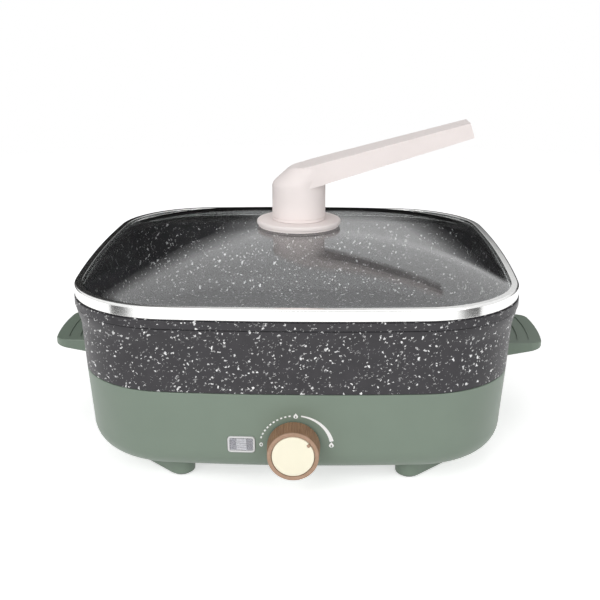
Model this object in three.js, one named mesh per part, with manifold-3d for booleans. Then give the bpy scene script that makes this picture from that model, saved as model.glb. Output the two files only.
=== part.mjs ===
// Electric skillet: a square cast pot in a moulded base with a thermostat knob,
// and a domed glass lid that lifts off by a slanting handle.
// Millimetres, +Z up. The origin is on the table under the middle of the pot,
// -Y is the side with the knob, +X is to the right of a person who faces it.

import * as THREE from 'three';
import { mergeVertices } from 'three/addons/utils/BufferGeometryUtils.js';
import Module from 'manifold-3d';

// Clearances
const seatGap = 0.3; // between faces that rest on each other
const runningGap = 0.35; // round what turns
const cutOverrun = 3; // how far a cutting body runs past the face that it cuts

// Outline of the body: a square with bowed sides and round corners
const bandHalfWidth = 160; // half the width over the lid's rim
const bandCornerRadius = 75.9;
const sideRadiusShare = 7.86; // radius of a bowed side, as a share of the half width
const wallDraftShare = 0.066; // how much the wall leans out as it rises
const seamHeight = 73.1; // where the pot takes over from the base
const seamInset = 5.5; // from the lid's rim
const seamCornerRadius = 68;

// Base housing
const hullBottom = 13.2;
const hullEdgeWidth = 21.3;
const hullEdgeHeight = 19.6;
const hullEdgePower = 2.2;
const bottomCornerRadius = 41;
const housingWall = 3;
const housingFloor = 4.2;

// Side grips, moulded with the housing
const gripLength = 37.6; // out from the wall
const gripHalfWidth = 36.7;
const gripTop = 69;
const gripTipThickness = 4.8;
const gripRootThickness = 12;
const gripEndRadius = 215; // of the bowed outer edge
const gripCornerRadius = 10;
const gripWall = 2.6;
const gripRibThickness = 2;
const gripPocketCount = 3;
const gripGrooveWidth = 1.3;
const gripGrooveDepth = 0.9;
const gripGrooveInsets = [10.4, 19];
const gripGrooveMargin = 8.5;

// Legs, pads and the screws that hold the pot down from inside the legs
const legInset = 20.2; // from the bottom's corner to a leg's middle, along the diagonal
const legHalfLength = 27.6; // between a leg's middle and the middle of its round end
const legRadius = 9.6;
const legBottom = 1;
const legEdge = 2;
const padInset = 2.6;
const padRecess = 1.5;
const postRadius = 8.5;
const postTop = 47.1;
const wellRadius = 4.7;
const wellTop = 25;
const potScrewRadius = 2;
const potScrewHeadRadius = 4;
const potScrewHeadHeight = 2.6;

// Bottom cover
const coverInset = 22.5; // from the edge of the flat bottom
const coverCornerRadius = 62;
const coverThickness = 2;
const coverLedge = 10;
const ventCount = 9;
const ventWidth = 4;
const ventLength = 62;
const ventPitch = 11;
const coverScrewInset = 5;
const coverScrewRadius = 1.5;
const coverScrewHeadRadius = 3.2;
const coverScrewHeadHeight = 1.8;
const coverBossRadius = 4.5;
const coverBossTop = 26;

// Pot
const potRimHeight = 125.8;
const potFlangeOverhang = 0.3; // past the lid's rim
const potFlangeHeight = 6;
const potFlangeEdge = 0.8;
const potFlangeStep = 0.7; // how far its lower edge stands out from the wall
const potCoveInset = 1.4; // from the flange's edge
const potCoveHeight = 12.4;
const potCoveEnd = 20.8;
const potMouthGap = 1.2; // round the skirt of the lid's rim
const potWall = 3.6;
const potSideGap = 0.8;
const potFloorTop = 60;
const potFloorThickness = 4.5;
const potInnerFillet = 14;
const potOuterFillet = 11;
const potBossRadius = 7.5;
const potBossDepth = 7.2;
const potBoreRoom = 2;

// Heating element, pressed into a ridge under the pot
const elementInset = 54.5; // from the seam to the middle of the rod
const elementCornerRadius = 46;
const elementBendRadius = 14;
const elementRadius = 3.3;
const elementEndsHalfSpacing = 16;
const elementLeadLength = 38; // from the back run in to the rod's ends
const ridgeHalfWidth = 6.5;
const ridgeHeight = 6.2;
const terminalBushRadius = 3;
const terminalBushLength = 6;
const terminalPinRadius = 1.2;
const terminalPinLength = 15;

// Heat shield
const shieldInset = 28.5; // from the seam
const shieldCornerRadius = 50;
const shieldThickness = 0.7;
const shieldLip = 3;
const shieldNotchHalfWidth = 25;
const shieldNotchDepth = 26;
const shieldPortHalfWidth = 42;
const shieldPortFront = 30;
const shieldPortBack = 84;
const shieldPortRadius = 6;

// Thermostat, its bracket and its spindle
const knobHeight = 36.3;
const thermostatHalfWidth = 9.5;
const thermostatHeight = 18;
const thermostatLength = 26;
const thermostatBushRadius = 4.5;
const thermostatBushLength = 9.5;
const thermostatBushBackset = 12;
const bracketSetback = 27.3; // from the seam
const bracketThickness = 1.2;
const bracketHalfWidth = 20;
const bracketDepth = 20;
const bracketDrop = 21;
const bracketBossSetback = 13.2; // from the bracket's face
const bracketBossHalfSpacing = 14.5;
const bracketBossRadius = 3.8;
const bracketBossBottom = 47.4;
const bracketScrewRadius = 1.5;
const bracketScrewHeadRadius = 2.8;
const bracketScrewHeadHeight = 2;
const bracketScrewReach = 6;
const nutAcrossCorners = 14;
const nutThickness = 3;
const spindleRadius = 3;
const spindleFlatDepth = 1.5;
const spindleFlatLength = 15;
const spindleDepth = 14.2; // into the thermostat, from the bracket's face
const spindleTipSetback = 6.2; // from the knob's front
const spindleHoleRadius = 5.2;
const tabWidth = 6.3;
const tabThickness = 0.8;
const tabLength = 9;
const tabHalfSpacing = 5.5;

// Knob
const knobSeamGap = 0.1; // how far the knob's back stands out past the seam
const knobLength = 16.6;
const knobBackRadius = 17.9;
const knobFrontRadius = 17.1;
const knobSmoothFront = 1.6;
const knobFluteCount = 36;
const knobFluteDepth = 0.5;
const knobBoreRadius = 14.4;
const knobCapThickness = 2.6;
const knobCapCrown = 0.5;
const knobCapEdge = 0.8;
const knobWebThickness = 2.4;
const knobCoreWall = 1.8;
const knobCoreBackset = 0.6;
const knobHubRadius = 5.6;
const knobHubSetback = 2.4; // from the knob's back
const knobMarkWidth = 2.4;
const knobMarkDepth = 2.2;
const knobMarkAngle = 52 * THREE.MathUtils.DEG2RAD; // clockwise from the top

// Signal lamp
const lampX = -35.5;
const lampZ = 35.8;
const lensWidth = 18.7;
const lensHeight = 12.1;
const lensCornerRadius = 2.5;
const lensProud = 0.6;
const lensSink = 0.9;
const lensPlugInset = 2.2;
const lensPlugDepth = 4.6;
const neonRadius = 2.6;
const neonLength = 12;
const lampHolderDepth = 8.5;
const lampHolderHeight = 11;
const lampHolderGap = 1.5;

// Appliance inlet at the back
const inletZ = 40;
const inletPadProud = 1.9; // past the seam
const inletPadHalfWidth = 28;
const inletPadHeight = 32;
const inletPadRadius = 7;
const inletFlangeWidth = 51;
const inletFlangeHeight = 27;
const inletFlangeThickness = 2.4;
const inletCollarWidth = 32;
const inletCollarHeight = 24;
const inletCollarLength = 12.2;
const inletSocketWidth = 25;
const inletSocketHeight = 17;
const inletSocketDepth = 18;
const inletCornerRadius = 4;
const inletBodyWidth = 29;
const inletBodyHeight = 20;
const inletBodyLength = 24.4;
const inletPinWidth = 2;
const inletPinHeight = 4;
const inletPinHalfSpacing = 7;
const inletPinOffset = 2;
const inletPinTipSetback = 5.6;
const inletTabReach = 8;
const inletScrewHalfSpacing = 20.6;
const inletScrewRadius = 1.5;
const inletScrewHeadRadius = 2.9;
const inletScrewHeadHeight = 2;
const inletScrewReach = 8;

// Thermal fuse, earth screw and wires
const fuseSideStep = 24; // outwards from the left end of the heating element
const fuseSetback = 46; // towards the front from the element's ends
const fuseRadius = 2.1;
const fuseLength = 12;
const fuseLeadRadius = 0.8;
const fuseLeadLength = 7;
const clipThickness = 0.8;
const clipWidth = 8;
const clipFoot = 7;
const earthSideStep = 20; // outwards from the right end of the heating element
const earthSetback = 6; // behind the element's ends
const earthBossRadius = 4;
const earthBossHeight = 3.6;
const earthScrewRadius = 1.7;
const earthScrewHeadRadius = 3.4;
const earthScrewHeadHeight = 2.2;
const wireRadius = 1.3;
const lampWireRadius = 0.9;
const lampWireHalfSpacing = 3.4;
const wireLead = 5;

// Lid: rim band, glass and handle
const bandHeight = 7.9;
const bandSheet = 0.8;
const bandEdgeRadius = 1.6;
const bandLip = 5.4;
const bandHem = 1.7;
const bandSkirtInset = 6.6;
const bandSkirtDrop = 6;
const glassThickness = 4;
const glassRise = 20.7;
const glassPower = 2.4;
const glassFlat = 5.2; // flat margin that the band's lip holds
const glassMiddleShare = 0.9; // roundness of the rings near the middle
const glassRingShares = [1, 0.9, 0.74, 0.52, 0.28];
const glassHoleRadius = 5;
const gasketRadius = 22;
const gasketThickness = 0.8;
const flangeRadius = 32.7;
const flangeThickness = 3.4;
const flangeEdge = 1.4;
const handlePostRadius = 20.7;
const handleShoulderHeight = 28.6; // where the post starts to lean over to the arm
const handleCrownX = 11.8;
const handleCrownRadius = 18.5;
const handleCrownHeight = 41.2;
const handleKneeX = 2;
const handleKneeHeight = 41.8;
const handleTipX = 128.8;
const handleTipHeight = 75.7;
const handleTipBottomX = 132.2;
const handleTipBottomHeight = 64.7;
const handleRootBottomHeight = 23.6;
const handleTipHalfWidth = 13;
const lidScrewRadius = 2.5;
const lidScrewHeadRadius = 5;
const lidScrewHeadHeight = 2.8;
const lidScrewReach = 22; // into the handle's post
const lidWasherRadius = 11;
const lidWasherThickness = 1;

// Facets
const sideSteps = 2;
const cornerSteps = 6;
const edgeSteps = 3;
const filletSteps = 2;
const roundFacets = 8;
const shankFacets = 6;
const nutSides = 6;
const fineFacets = 24;
const elementSteps = 38;
const elementSides = 6;
const wireSteps = 11;
const wireSides = 5;
const endSteps = 3;
const gripEdgeSteps = 4;
const smallSteps = 2;

// Places that follow from the sizes above
const seamHalfWidth = bandHalfWidth - seamInset;
const potFlangeHalfWidth = bandHalfWidth + potFlangeOverhang;
const potMouthHalfWidth = bandHalfWidth - bandSkirtInset + potMouthGap;
const gripReach = wallHalfWidth(gripTop) + gripLength;
const gripEndCentre = gripReach - gripEndRadius;
const bottomHalfWidth = wallHalfWidth(hullBottom + hullEdgeHeight) - hullEdgeWidth;
const legDistance = cornerReach(bottomHalfWidth, bottomCornerRadius) - legInset;
const coverHalfWidth = bottomHalfWidth - coverInset;
const elementHalfWidth = seamHalfWidth - elementInset;
const elementEndY = elementHalfWidth - elementLeadLength;
const shieldHalfWidth = seamHalfWidth - shieldInset;
const bracketFront = bracketSetback - seamHalfWidth;
const bracketBossY = bracketFront + bracketBossSetback;
const knobBack = -seamHalfWidth - knobSeamGap;
const knobFront = knobBack - knobLength;
const knobHubBack = knobBack - knobHubSetback;
const spindleBack = bracketFront + spindleDepth;
const spindleFront = knobFront + spindleTipSetback;
const inletPadY = seamHalfWidth + inletPadProud;
const inletCollarReach = inletPadY + inletCollarLength;
const inletBodyBack = inletPadY - inletBodyLength;
const lidBottom = potRimHeight + seatGap;
const lidTop = lidBottom + bandHeight;
const potUnderside = potFloorTop - potFloorThickness;
const padTop = legBottom + padRecess - seatGap;
const coverTop = hullBottom + coverThickness;
const shieldBottom = postTop + seatGap;
const shieldTop = shieldBottom + shieldThickness;
const potBossBottom = potUnderside - potBossDepth;
const earthBossBottom = potUnderside - earthBossHeight;
const elementZ = potUnderside - elementRadius;
const glassTop = lidTop - bandSheet - seatGap;
const glassBottom = glassTop - glassThickness;
const crownTop = glassTop + glassRise;
const crownBottom = crownTop - glassThickness;
const flangeBottom = crownTop + seatGap + gasketThickness + seatGap;
const flangeTop = flangeBottom + flangeThickness;
const handleBottom = flangeTop + seatGap;
const innerGasketBottom = crownBottom - seatGap - gasketThickness;
const washerBottom = innerGasketBottom - seatGap - lidWasherThickness;
const neonZ = -lensPlugDepth - seatGap - neonRadius; // from the wall's face, outwards
const lampHolderFront = -housingWall - lampHolderGap;
const lampHolderBack = lampHolderFront - lampHolderDepth;
const thermostatFront = bracketFront + bracketThickness + seatGap;
const thermostatBack = thermostatFront + thermostatLength;
const inletPlateBack = inletPadY + seatGap;
const inletFront = inletPlateBack + inletFlangeThickness;
const inletSocketBack = inletCollarReach - inletSocketDepth;
const fuseX = -elementEndsHalfSpacing - fuseSideStep;
const fuseY = elementEndY - fuseSetback;
const fuseZ = potUnderside - seatGap - fuseRadius;
const earthX = elementEndsHalfSpacing + earthSideStep;
const earthY = elementEndY + earthSetback;
const inletPins = [
  { x: -inletPinHalfSpacing, z: inletZ - inletPinOffset },
  { x: inletPinHalfSpacing, z: inletZ - inletPinOffset },
  { x: 0, z: inletZ + inletPinOffset },
];
const sides = [-1, 1];
const diagonals = [
  { x: 1, y: 1 },
  { x: -1, y: 1 },
  { x: -1, y: -1 },
  { x: 1, y: -1 },
];

const wasm = await Module();
wasm.setup();

// Turns a closed geometry into a solid that can be joined and cut.
function solid(geometry) {
  const plain = geometry.clone();
  plain.deleteAttribute('normal');
  plain.deleteAttribute('uv');
  const merged = mergeVertices(plain);
  const vertProperties = Float32Array.from(merged.attributes.position.array);
  const triVerts = Uint32Array.from(merged.index.array);
  return new wasm.Manifold(new wasm.Mesh({ numProp: 3, vertProperties, triVerts }));
}

// Turns a solid back into a geometry.
function surface(body) {
  const mesh = body.getMesh();
  const stride = mesh.numProp;
  const count = mesh.vertProperties.length / stride;
  const positions = new Float32Array(count * 3);
  for (let index = 0; index < count; index += 1) {
    for (let axis = 0; axis < 3; axis += 1) {
      positions[index * 3 + axis] = mesh.vertProperties[index * stride + axis];
    }
  }
  const geometry = new THREE.BufferGeometry();
  geometry.setAttribute('position', new THREE.BufferAttribute(positions, 3));
  geometry.setIndex(new THREE.BufferAttribute(Uint32Array.from(mesh.triVerts), 1));
  return geometry;
}

function joined(...geometries) {
  return surface(geometries.map(solid).reduce((whole, piece) => whole.add(piece)));
}

function cut(geometry, ...cutters) {
  const start = solid(geometry);
  return surface(cutters.map(solid).reduce((whole, cutter) => whole.subtract(cutter), start));
}

function common(first, second) {
  return surface(solid(first).intersect(solid(second)));
}

// Where the corner arcs of a bowed square have their centres, along X and along Y.
function cornerCentreOf({ halfWidth, cornerRadius, sideRadius }) {
  const sideCentre = sideRadius - halfWidth;
  return (Math.sqrt(2 * (sideRadius - cornerRadius) ** 2 - sideCentre ** 2) - sideCentre) / 2;
}

// From the middle of a bowed square to its corner, along the diagonal.
function cornerReach(halfWidth, cornerRadius) {
  return cornerCentreOf(section(halfWidth, cornerRadius)) * Math.SQRT2 + cornerRadius;
}

// Outline of a square with bowed sides and round corners, counter-clockwise.
function bowedSquare({ halfWidth, cornerRadius, sideRadius }) {
  const sideCentre = sideRadius - halfWidth;
  const cornerCentre = cornerCentreOf({ halfWidth, cornerRadius, sideRadius });
  const turn = Math.atan2(cornerCentre, cornerCentre + sideCentre);
  const points = [];
  for (let quarter = 0; quarter < 4; quarter += 1) {
    const heading = quarter * Math.PI / 2;
    for (let step = 0; step < sideSteps; step += 1) {
      const angle = turn * (2 * step / sideSteps - 1);
      const point = new THREE.Vector2(Math.cos(angle), Math.sin(angle)).multiplyScalar(sideRadius);
      point.x -= sideCentre;
      points.push(point.rotateAround(new THREE.Vector2(), heading));
    }
    for (let step = 0; step < cornerSteps; step += 1) {
      const angle = turn + (Math.PI / 2 - 2 * turn) * step / cornerSteps;
      const point = new THREE.Vector2(Math.cos(angle), Math.sin(angle)).multiplyScalar(cornerRadius);
      point.addScalar(cornerCentre);
      points.push(point.rotateAround(new THREE.Vector2(), heading));
    }
  }
  return points;
}

// A section is an outline's sizes at a height.
function section(halfWidth, cornerRadius, z) {
  return { halfWidth, cornerRadius, sideRadius: halfWidth * sideRadiusShare, z };
}

function inset(from, distance, z = from.z) {
  return {
    halfWidth: from.halfWidth - distance,
    cornerRadius: from.cornerRadius - distance,
    sideRadius: from.sideRadius - distance,
    z,
  };
}

// Skin through rings of equally many points, capped at both ends or closed on itself.
function skin(rings, closed = false) {
  const size = rings[0].points.length;
  const positions = [];
  const indices = [];
  rings.forEach(({ points, z }) => points.forEach((point) => positions.push(point.x, point.y, z)));
  const spans = closed ? rings.length : rings.length - 1;
  for (let ring = 0; ring < spans; ring += 1) {
    const low = ring * size;
    const high = (ring + 1) % rings.length * size;
    for (let side = 0; side < size; side += 1) {
      const next = (side + 1) % size;
      indices.push(low + side, low + next, high + next);
      indices.push(low + side, high + next, high + side);
    }
  }
  if (!closed) {
    const first = positions.length / 3;
    const last = first + 1;
    const top = (rings.length - 1) * size;
    positions.push(0, 0, rings[0].z, 0, 0, rings.at(-1).z);
    for (let side = 0; side < size; side += 1) {
      const next = (side + 1) % size;
      indices.push(first, next, side, last, top + side, top + next);
    }
  }
  const geometry = new THREE.BufferGeometry();
  geometry.setAttribute('position', new THREE.Float32BufferAttribute(positions, 3));
  geometry.setIndex(indices);
  return geometry;
}

function loft(sections, closed = false) {
  return skin(sections.map((part) => ({ points: bowedSquare(part), z: part.z })), closed);
}

function wallHalfWidth(z) {
  return seamHalfWidth + wallDraftShare * (z - seamHeight);
}

// Section of the outer wall at a height; the pot and the housing share it.
function wallSection(z) {
  const rise = z - seamHeight;
  const cornerGrowthShare = (bandCornerRadius - seamCornerRadius) / (lidTop - seamHeight);
  const cornerRadius = seamCornerRadius + cornerGrowthShare * Math.max(rise, 0);
  return section(wallHalfWidth(z), cornerRadius, z);
}

// Sections of the hull from its flat bottom, round its edge and up to the wall.
function hullSections(wallInset, bottom) {
  const edgeTop = hullBottom + hullEdgeHeight;
  const sections = [];
  for (let step = 0; step <= edgeSteps; step += 1) {
    const turn = (1 - step / edgeSteps) * Math.PI / 2;
    const dropShare = Math.sin(turn) ** (2 / hullEdgePower);
    const pullShare = 1 - Math.cos(turn) ** (2 / hullEdgePower);
    const cornerRadius = THREE.MathUtils.lerp(seamCornerRadius, bottomCornerRadius, pullShare);
    const halfWidth = wallHalfWidth(edgeTop) - hullEdgeWidth * pullShare;
    const outer = section(halfWidth, cornerRadius, hullBottom);
    sections.push(inset(outer, wallInset, edgeTop - (edgeTop - bottom) * dropShare));
  }
  return sections;
}

function cylinderZ(radius, bottom, top, x = 0, y = 0, facets = roundFacets) {
  const geometry = new THREE.CylinderGeometry(radius, radius, top - bottom, facets);
  return geometry.rotateX(Math.PI / 2).translate(x, y, (bottom + top) / 2);
}

function cylinderY(radius, front, back, x = 0, z = 0, facets = roundFacets) {
  const geometry = new THREE.CylinderGeometry(radius, radius, back - front, facets);
  return geometry.translate(x, (front + back) / 2, z);
}

function cylinderX(radius, left, right, y = 0, z = 0, facets = roundFacets) {
  const geometry = new THREE.CylinderGeometry(radius, radius, right - left, facets);
  return geometry.rotateZ(Math.PI / 2).translate((left + right) / 2, y, z);
}

function block(minimum, maximum) {
  const size = new THREE.Vector3().subVectors(maximum, minimum);
  const middle = new THREE.Vector3().addVectors(maximum, minimum).multiplyScalar(1 / 2);
  return new THREE.BoxGeometry(size.x, size.y, size.z).translate(middle.x, middle.y, middle.z);
}

function roundedRectangle(width, height, radius) {
  const shape = new THREE.Shape();
  const right = width / 2 - radius;
  const top = height / 2 - radius;
  shape.absarc(right, -top, radius, -Math.PI / 2, 0);
  shape.absarc(right, top, radius, 0, Math.PI / 2);
  shape.absarc(-right, top, radius, Math.PI / 2, Math.PI);
  shape.absarc(-right, -top, radius, Math.PI, 3 * Math.PI / 2);
  shape.closePath();
  return shape;
}

// Plate of an outline, from one height to another.
function plate(shape, bottom, top, curveSegments = endSteps) {
  const options = { depth: top - bottom, bevelEnabled: false, curveSegments };
  return new THREE.ExtrudeGeometry(shape, options).translate(0, 0, bottom);
}

// Rounded block whose outline stands upright and faces along Y.
function uprightBlock(width, height, radius, front, back, x, z) {
  const geometry = plate(roundedRectangle(width, height, radius), -back, -front, smallSteps);
  return geometry.rotateX(Math.PI / 2).translate(x, 0, z);
}

// Outline of a bar with round ends.
function barShape(halfLength, radius) {
  const shape = new THREE.Shape();
  shape.absarc(halfLength, 0, radius, -Math.PI / 2, Math.PI / 2);
  shape.absarc(-halfLength, 0, radius, Math.PI / 2, 3 * Math.PI / 2);
  shape.closePath();
  return shape;
}

function atLeg(geometry, corner) {
  const heading = Math.atan2(corner.y, corner.x);
  return geometry.clone().rotateZ(heading + Math.PI / 2)
    .translate(legDistance * Math.cos(heading), legDistance * Math.sin(heading), 0);
}

function atCorners(make) {
  return diagonals.map((corner) => atLeg(make(), corner));
}

function leg() {
  const shape = barShape(legHalfLength, legRadius - legEdge);
  const top = hullBottom + housingFloor / 2;
  const geometry = new THREE.ExtrudeGeometry(shape, {
    depth: top - legBottom - 2 * legEdge,
    bevelThickness: legEdge,
    bevelSize: legEdge,
    bevelSegments: 1,
    curveSegments: endSteps,
  });
  return geometry.translate(0, 0, legBottom + legEdge);
}

// Points along an arc in the plan, both its ends included.
function arcPoints(x, y, radius, start, end, steps) {
  return Array.from({ length: steps + 1 }, (_, step) => {
    const angle = start + (end - start) * step / steps;
    return new THREE.Vector2(x + radius * Math.cos(angle), y + radius * Math.sin(angle));
  });
}

// Plan of a grip from a place along X to its bowed end, or what lies a margin inside it.
function gripPlan(start, margin) {
  const cornerY = gripHalfWidth - gripCornerRadius;
  const cornerReachX = Math.sqrt((gripEndRadius - gripCornerRadius) ** 2 - cornerY ** 2);
  const cornerX = gripEndCentre + cornerReachX;
  const turn = Math.atan2(cornerY, cornerReachX);
  const radius = gripCornerRadius - margin;
  return new THREE.Shape([
    ...arcPoints(cornerX, -cornerY, radius, -Math.PI / 2, -turn, endSteps),
    ...arcPoints(gripEndCentre, 0, gripEndRadius - margin, -turn, turn, gripEdgeSteps).slice(1, -1),
    ...arcPoints(cornerX, cornerY, radius, turn, Math.PI / 2, endSteps),
    new THREE.Vector2(start, gripHalfWidth - margin),
    new THREE.Vector2(start, margin - gripHalfWidth),
  ]);
}

// Groove in a grip's top, which follows its bowed end.
function gripGroove(distance) {
  const middle = gripEndRadius - distance;
  const turn = Math.asin((gripHalfWidth - gripGrooveMargin) / middle);
  const shape = new THREE.Shape([
    ...arcPoints(gripEndCentre, 0, middle + gripGrooveWidth / 2, -turn, turn, gripEdgeSteps),
    ...arcPoints(gripEndCentre, 0, middle - gripGrooveWidth / 2, turn, -turn, gripEdgeSteps),
  ]);
  return plate(shape, gripTop - gripGrooveDepth, gripTop + cutOverrun);
}

// Hollow under a grip, parted by ribs.
function gripPockets(start) {
  const bottom = gripTop - gripRootThickness - cutOverrun;
  const whole = plate(gripPlan(start, gripWall), bottom, gripTop - gripWall - gripGrooveDepth);
  const span = 2 * (gripHalfWidth - gripWall);
  const pitch = (span + gripRibThickness) / gripPocketCount;
  const ribs = [];
  for (let index = 1; index < gripPocketCount; index += 1) {
    const side = index * pitch - span / 2;
    ribs.push(block(
      new THREE.Vector3(start - cutOverrun, side - gripRibThickness, bottom - cutOverrun),
      new THREE.Vector3(gripReach, side, gripTop),
    ));
  }
  return cut(whole, ...ribs);
}

// Side grip: its side view across its plan, with grooves on top and pockets below.
function grip() {
  const root = seamHalfWidth - housingWall - cutOverrun;
  const wallX = wallHalfWidth(gripTop);
  const side = new THREE.Shape();
  side.moveTo(root, gripTop);
  side.lineTo(root, gripTop - gripRootThickness);
  side.lineTo(wallX, gripTop - gripRootThickness);
  side.lineTo(gripReach, gripTop - gripTipThickness);
  side.lineTo(gripReach, gripTop);
  side.closePath();
  const sideBody = plate(side, -gripHalfWidth, gripHalfWidth).rotateX(Math.PI / 2);
  const planBottom = gripTop - gripRootThickness - cutOverrun;
  const planBody = plate(gripPlan(root - cutOverrun, 0), planBottom, gripTop + cutOverrun);
  return cut(common(sideBody, planBody), ...gripGrooveInsets.map(gripGroove), gripPockets(wallX + gripWall));
}

// Frame of a place on the front wall, which leans and bows: its own Z points out of the wall.
function frontWallFrame(x, z) {
  const { halfWidth, sideRadius } = wallSection(z);
  const y = sideRadius - halfWidth - Math.sqrt(sideRadius ** 2 - x ** 2);
  const lean = new THREE.Matrix4().makeRotationX(Math.PI / 2 + Math.atan(wallDraftShare));
  const yaw = new THREE.Matrix4().makeRotationZ(Math.asin(x / sideRadius));
  return yaw.multiply(lean).setPosition(x, y, z);
}

// Sets what is built flat, facing +Z, at the lamp's place on the front wall.
function atLamp(flat) {
  return flat.applyMatrix4(frontWallFrame(lampX, lampZ));
}

function lensPlug(margin, depth) {
  const width = lensWidth - 2 * lensPlugInset + 2 * margin;
  const height = lensHeight - 2 * lensPlugInset + 2 * margin;
  return plate(roundedRectangle(width, height, lensCornerRadius / 2), -depth, 0, smallSteps);
}

function lensFlange(margin, top) {
  const shape = roundedRectangle(lensWidth + 2 * margin, lensHeight + 2 * margin, lensCornerRadius + margin);
  return plate(shape, -lensSink - margin, top, smallSteps);
}

function coverScrewPlaces() {
  const distance = coverHalfWidth - coverScrewInset;
  return [0, 1, 2, 3].map((quarter) => {
    const heading = quarter * Math.PI / 2;
    return { x: distance * Math.cos(heading), y: distance * Math.sin(heading) };
  });
}

function baseHousing() {
  const outer = loft([...hullSections(0, hullBottom), wallSection(seamHeight)]);
  const seamInside = inset(wallSection(seamHeight), housingWall);
  const inner = loft([
    ...hullSections(housingWall, hullBottom + housingFloor),
    seamInside,
    inset(seamInside, 0, seamHeight + cutOverrun),
  ]);
  const coverSeat = coverTop + seatGap;
  const coverSection = section(coverHalfWidth, coverCornerRadius, hullBottom);
  const recess = loft([
    inset(coverSection, -seatGap, hullBottom - cutOverrun),
    inset(coverSection, -seatGap, coverSeat),
  ]);
  const opening = loft([
    inset(coverSection, coverLedge, hullBottom),
    inset(coverSection, coverLedge, hullBottom + housingFloor + cutOverrun),
  ]);
  const inletPad = uprightBlock(
    2 * inletPadHalfWidth, inletPadHeight, inletPadRadius, inletPadY - hullEdgeWidth, inletPadY, 0, inletZ,
  );
  const hull = joined(outer, grip(), grip().rotateZ(Math.PI), ...atCorners(leg), inletPad);
  const shell = cut(hull, inner, recess, opening);
  const posts = atCorners(() => cylinderZ(postRadius, hullBottom + housingFloor / 2, postTop));
  const bosses = coverScrewPlaces().map(({ x, y }) => (
    cylinderZ(coverBossRadius, coverSeat, coverBossTop, x, y)));
  const padRoom = () => plate(
    barShape(legHalfLength, legRadius - padInset + seatGap), legBottom - cutOverrun, legBottom + padRecess,
  );
  const shankRoom = () => cylinderZ(potScrewRadius + runningGap, wellTop - cutOverrun, postTop + cutOverrun);
  const bores = [
    ...atCorners(padRoom),
    ...atCorners(() => cylinderZ(wellRadius, legBottom, wellTop)),
    ...atCorners(shankRoom),
    ...coverScrewPlaces().map(({ x, y }) => (
      cylinderZ(coverScrewRadius + seatGap, hullBottom, coverBossTop + cutOverrun, x, y))),
    cylinderY(spindleHoleRadius, -seamHalfWidth - cutOverrun, bracketFront, 0, knobHeight),
    atLamp(lensFlange(seatGap, cutOverrun)),
    atLamp(lensPlug(seatGap, housingWall + cutOverrun)),
    uprightBlock(
      inletBodyWidth + 2 * seatGap, inletBodyHeight + 2 * seatGap, inletCornerRadius,
      inletBodyBack, inletPadY + cutOverrun, 0, inletZ,
    ),
    ...sides.map((side) => cylinderY(
      inletScrewRadius + seatGap, inletBodyBack, inletPadY + cutOverrun, side * inletScrewHalfSpacing, inletZ,
    )),
  ];
  return cut(joined(shell, ...posts, ...bosses), ...bores);
}

function bottomCover() {
  const base = section(coverHalfWidth, coverCornerRadius, hullBottom);
  const sheet = loft([base, inset(base, 0, coverTop)]);
  const vents = [];
  for (let index = 0; index < ventCount; index += 1) {
    const x = (index - (ventCount - 1) / 2) * ventPitch;
    const shape = barShape((ventLength - ventWidth) / 2, ventWidth / 2);
    const slot = plate(shape, hullBottom - cutOverrun, coverTop + cutOverrun, smallSteps);
    vents.push(slot.rotateZ(Math.PI / 2).translate(x, 0, 0));
  }
  const holes = coverScrewPlaces().map(({ x, y }) => (
    cylinderZ(coverScrewRadius + seatGap, hullBottom - cutOverrun, coverTop + cutOverrun, x, y)));
  return cut(sheet, ...vents, ...holes);
}

// A screw that points up: its head below, its shank above.
function screwUp(headRadius, headHeight, shankRadius, seat, tip, x, y) {
  const head = cylinderZ(headRadius, seat - headHeight, seat, x, y);
  const shank = cylinderZ(shankRadius, seat - headHeight / 2, tip, x, y, shankFacets);
  return joined(head, shank);
}

function coverScrews() {
  const seat = hullBottom - seatGap;
  const tip = coverBossTop - coverScrewRadius;
  return coverScrewPlaces().map(({ x, y }) => (
    screwUp(coverScrewHeadRadius, coverScrewHeadHeight, coverScrewRadius, seat, tip, x, y)));
}

function potScrews() {
  const seat = wellTop - seatGap;
  const tip = potUnderside + potBoreRoom - seatGap;
  return atCorners(() => (
    screwUp(potScrewHeadRadius, potScrewHeadHeight, potScrewRadius, seat, tip, 0, 0)));
}

function footPad() {
  return plate(barShape(legHalfLength, legRadius - padInset), 0, padTop);
}

// Centre line of the heating element, at the height of its middle.
class LevelCurve extends THREE.Curve {
  constructor(path, level) {
    super();
    this.path = path;
    this.level = level;
  }

  getPoint(share, target = new THREE.Vector3()) {
    const point = this.path.getPoint(share);
    return target.set(point.x, point.y, this.level);
  }
}

function elementCurve() {
  const far = elementHalfWidth;
  const corner = far - elementCornerRadius;
  const bendX = elementEndsHalfSpacing + elementBendRadius;
  const bendY = far - elementBendRadius;
  const path = new THREE.Path();
  path.moveTo(-elementEndsHalfSpacing, elementEndY);
  path.lineTo(-elementEndsHalfSpacing, bendY);
  path.absarc(-bendX, bendY, elementBendRadius, 0, Math.PI / 2);
  path.absarc(-corner, corner, elementCornerRadius, Math.PI / 2, Math.PI);
  path.absarc(-corner, -corner, elementCornerRadius, Math.PI, 3 * Math.PI / 2);
  path.absarc(corner, -corner, elementCornerRadius, 3 * Math.PI / 2, 2 * Math.PI);
  path.absarc(corner, corner, elementCornerRadius, 0, Math.PI / 2);
  path.absarc(bendX, bendY, elementBendRadius, Math.PI / 2, Math.PI);
  path.lineTo(elementEndsHalfSpacing, elementEndY);
  return new LevelCurve(path, elementZ);
}

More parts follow.
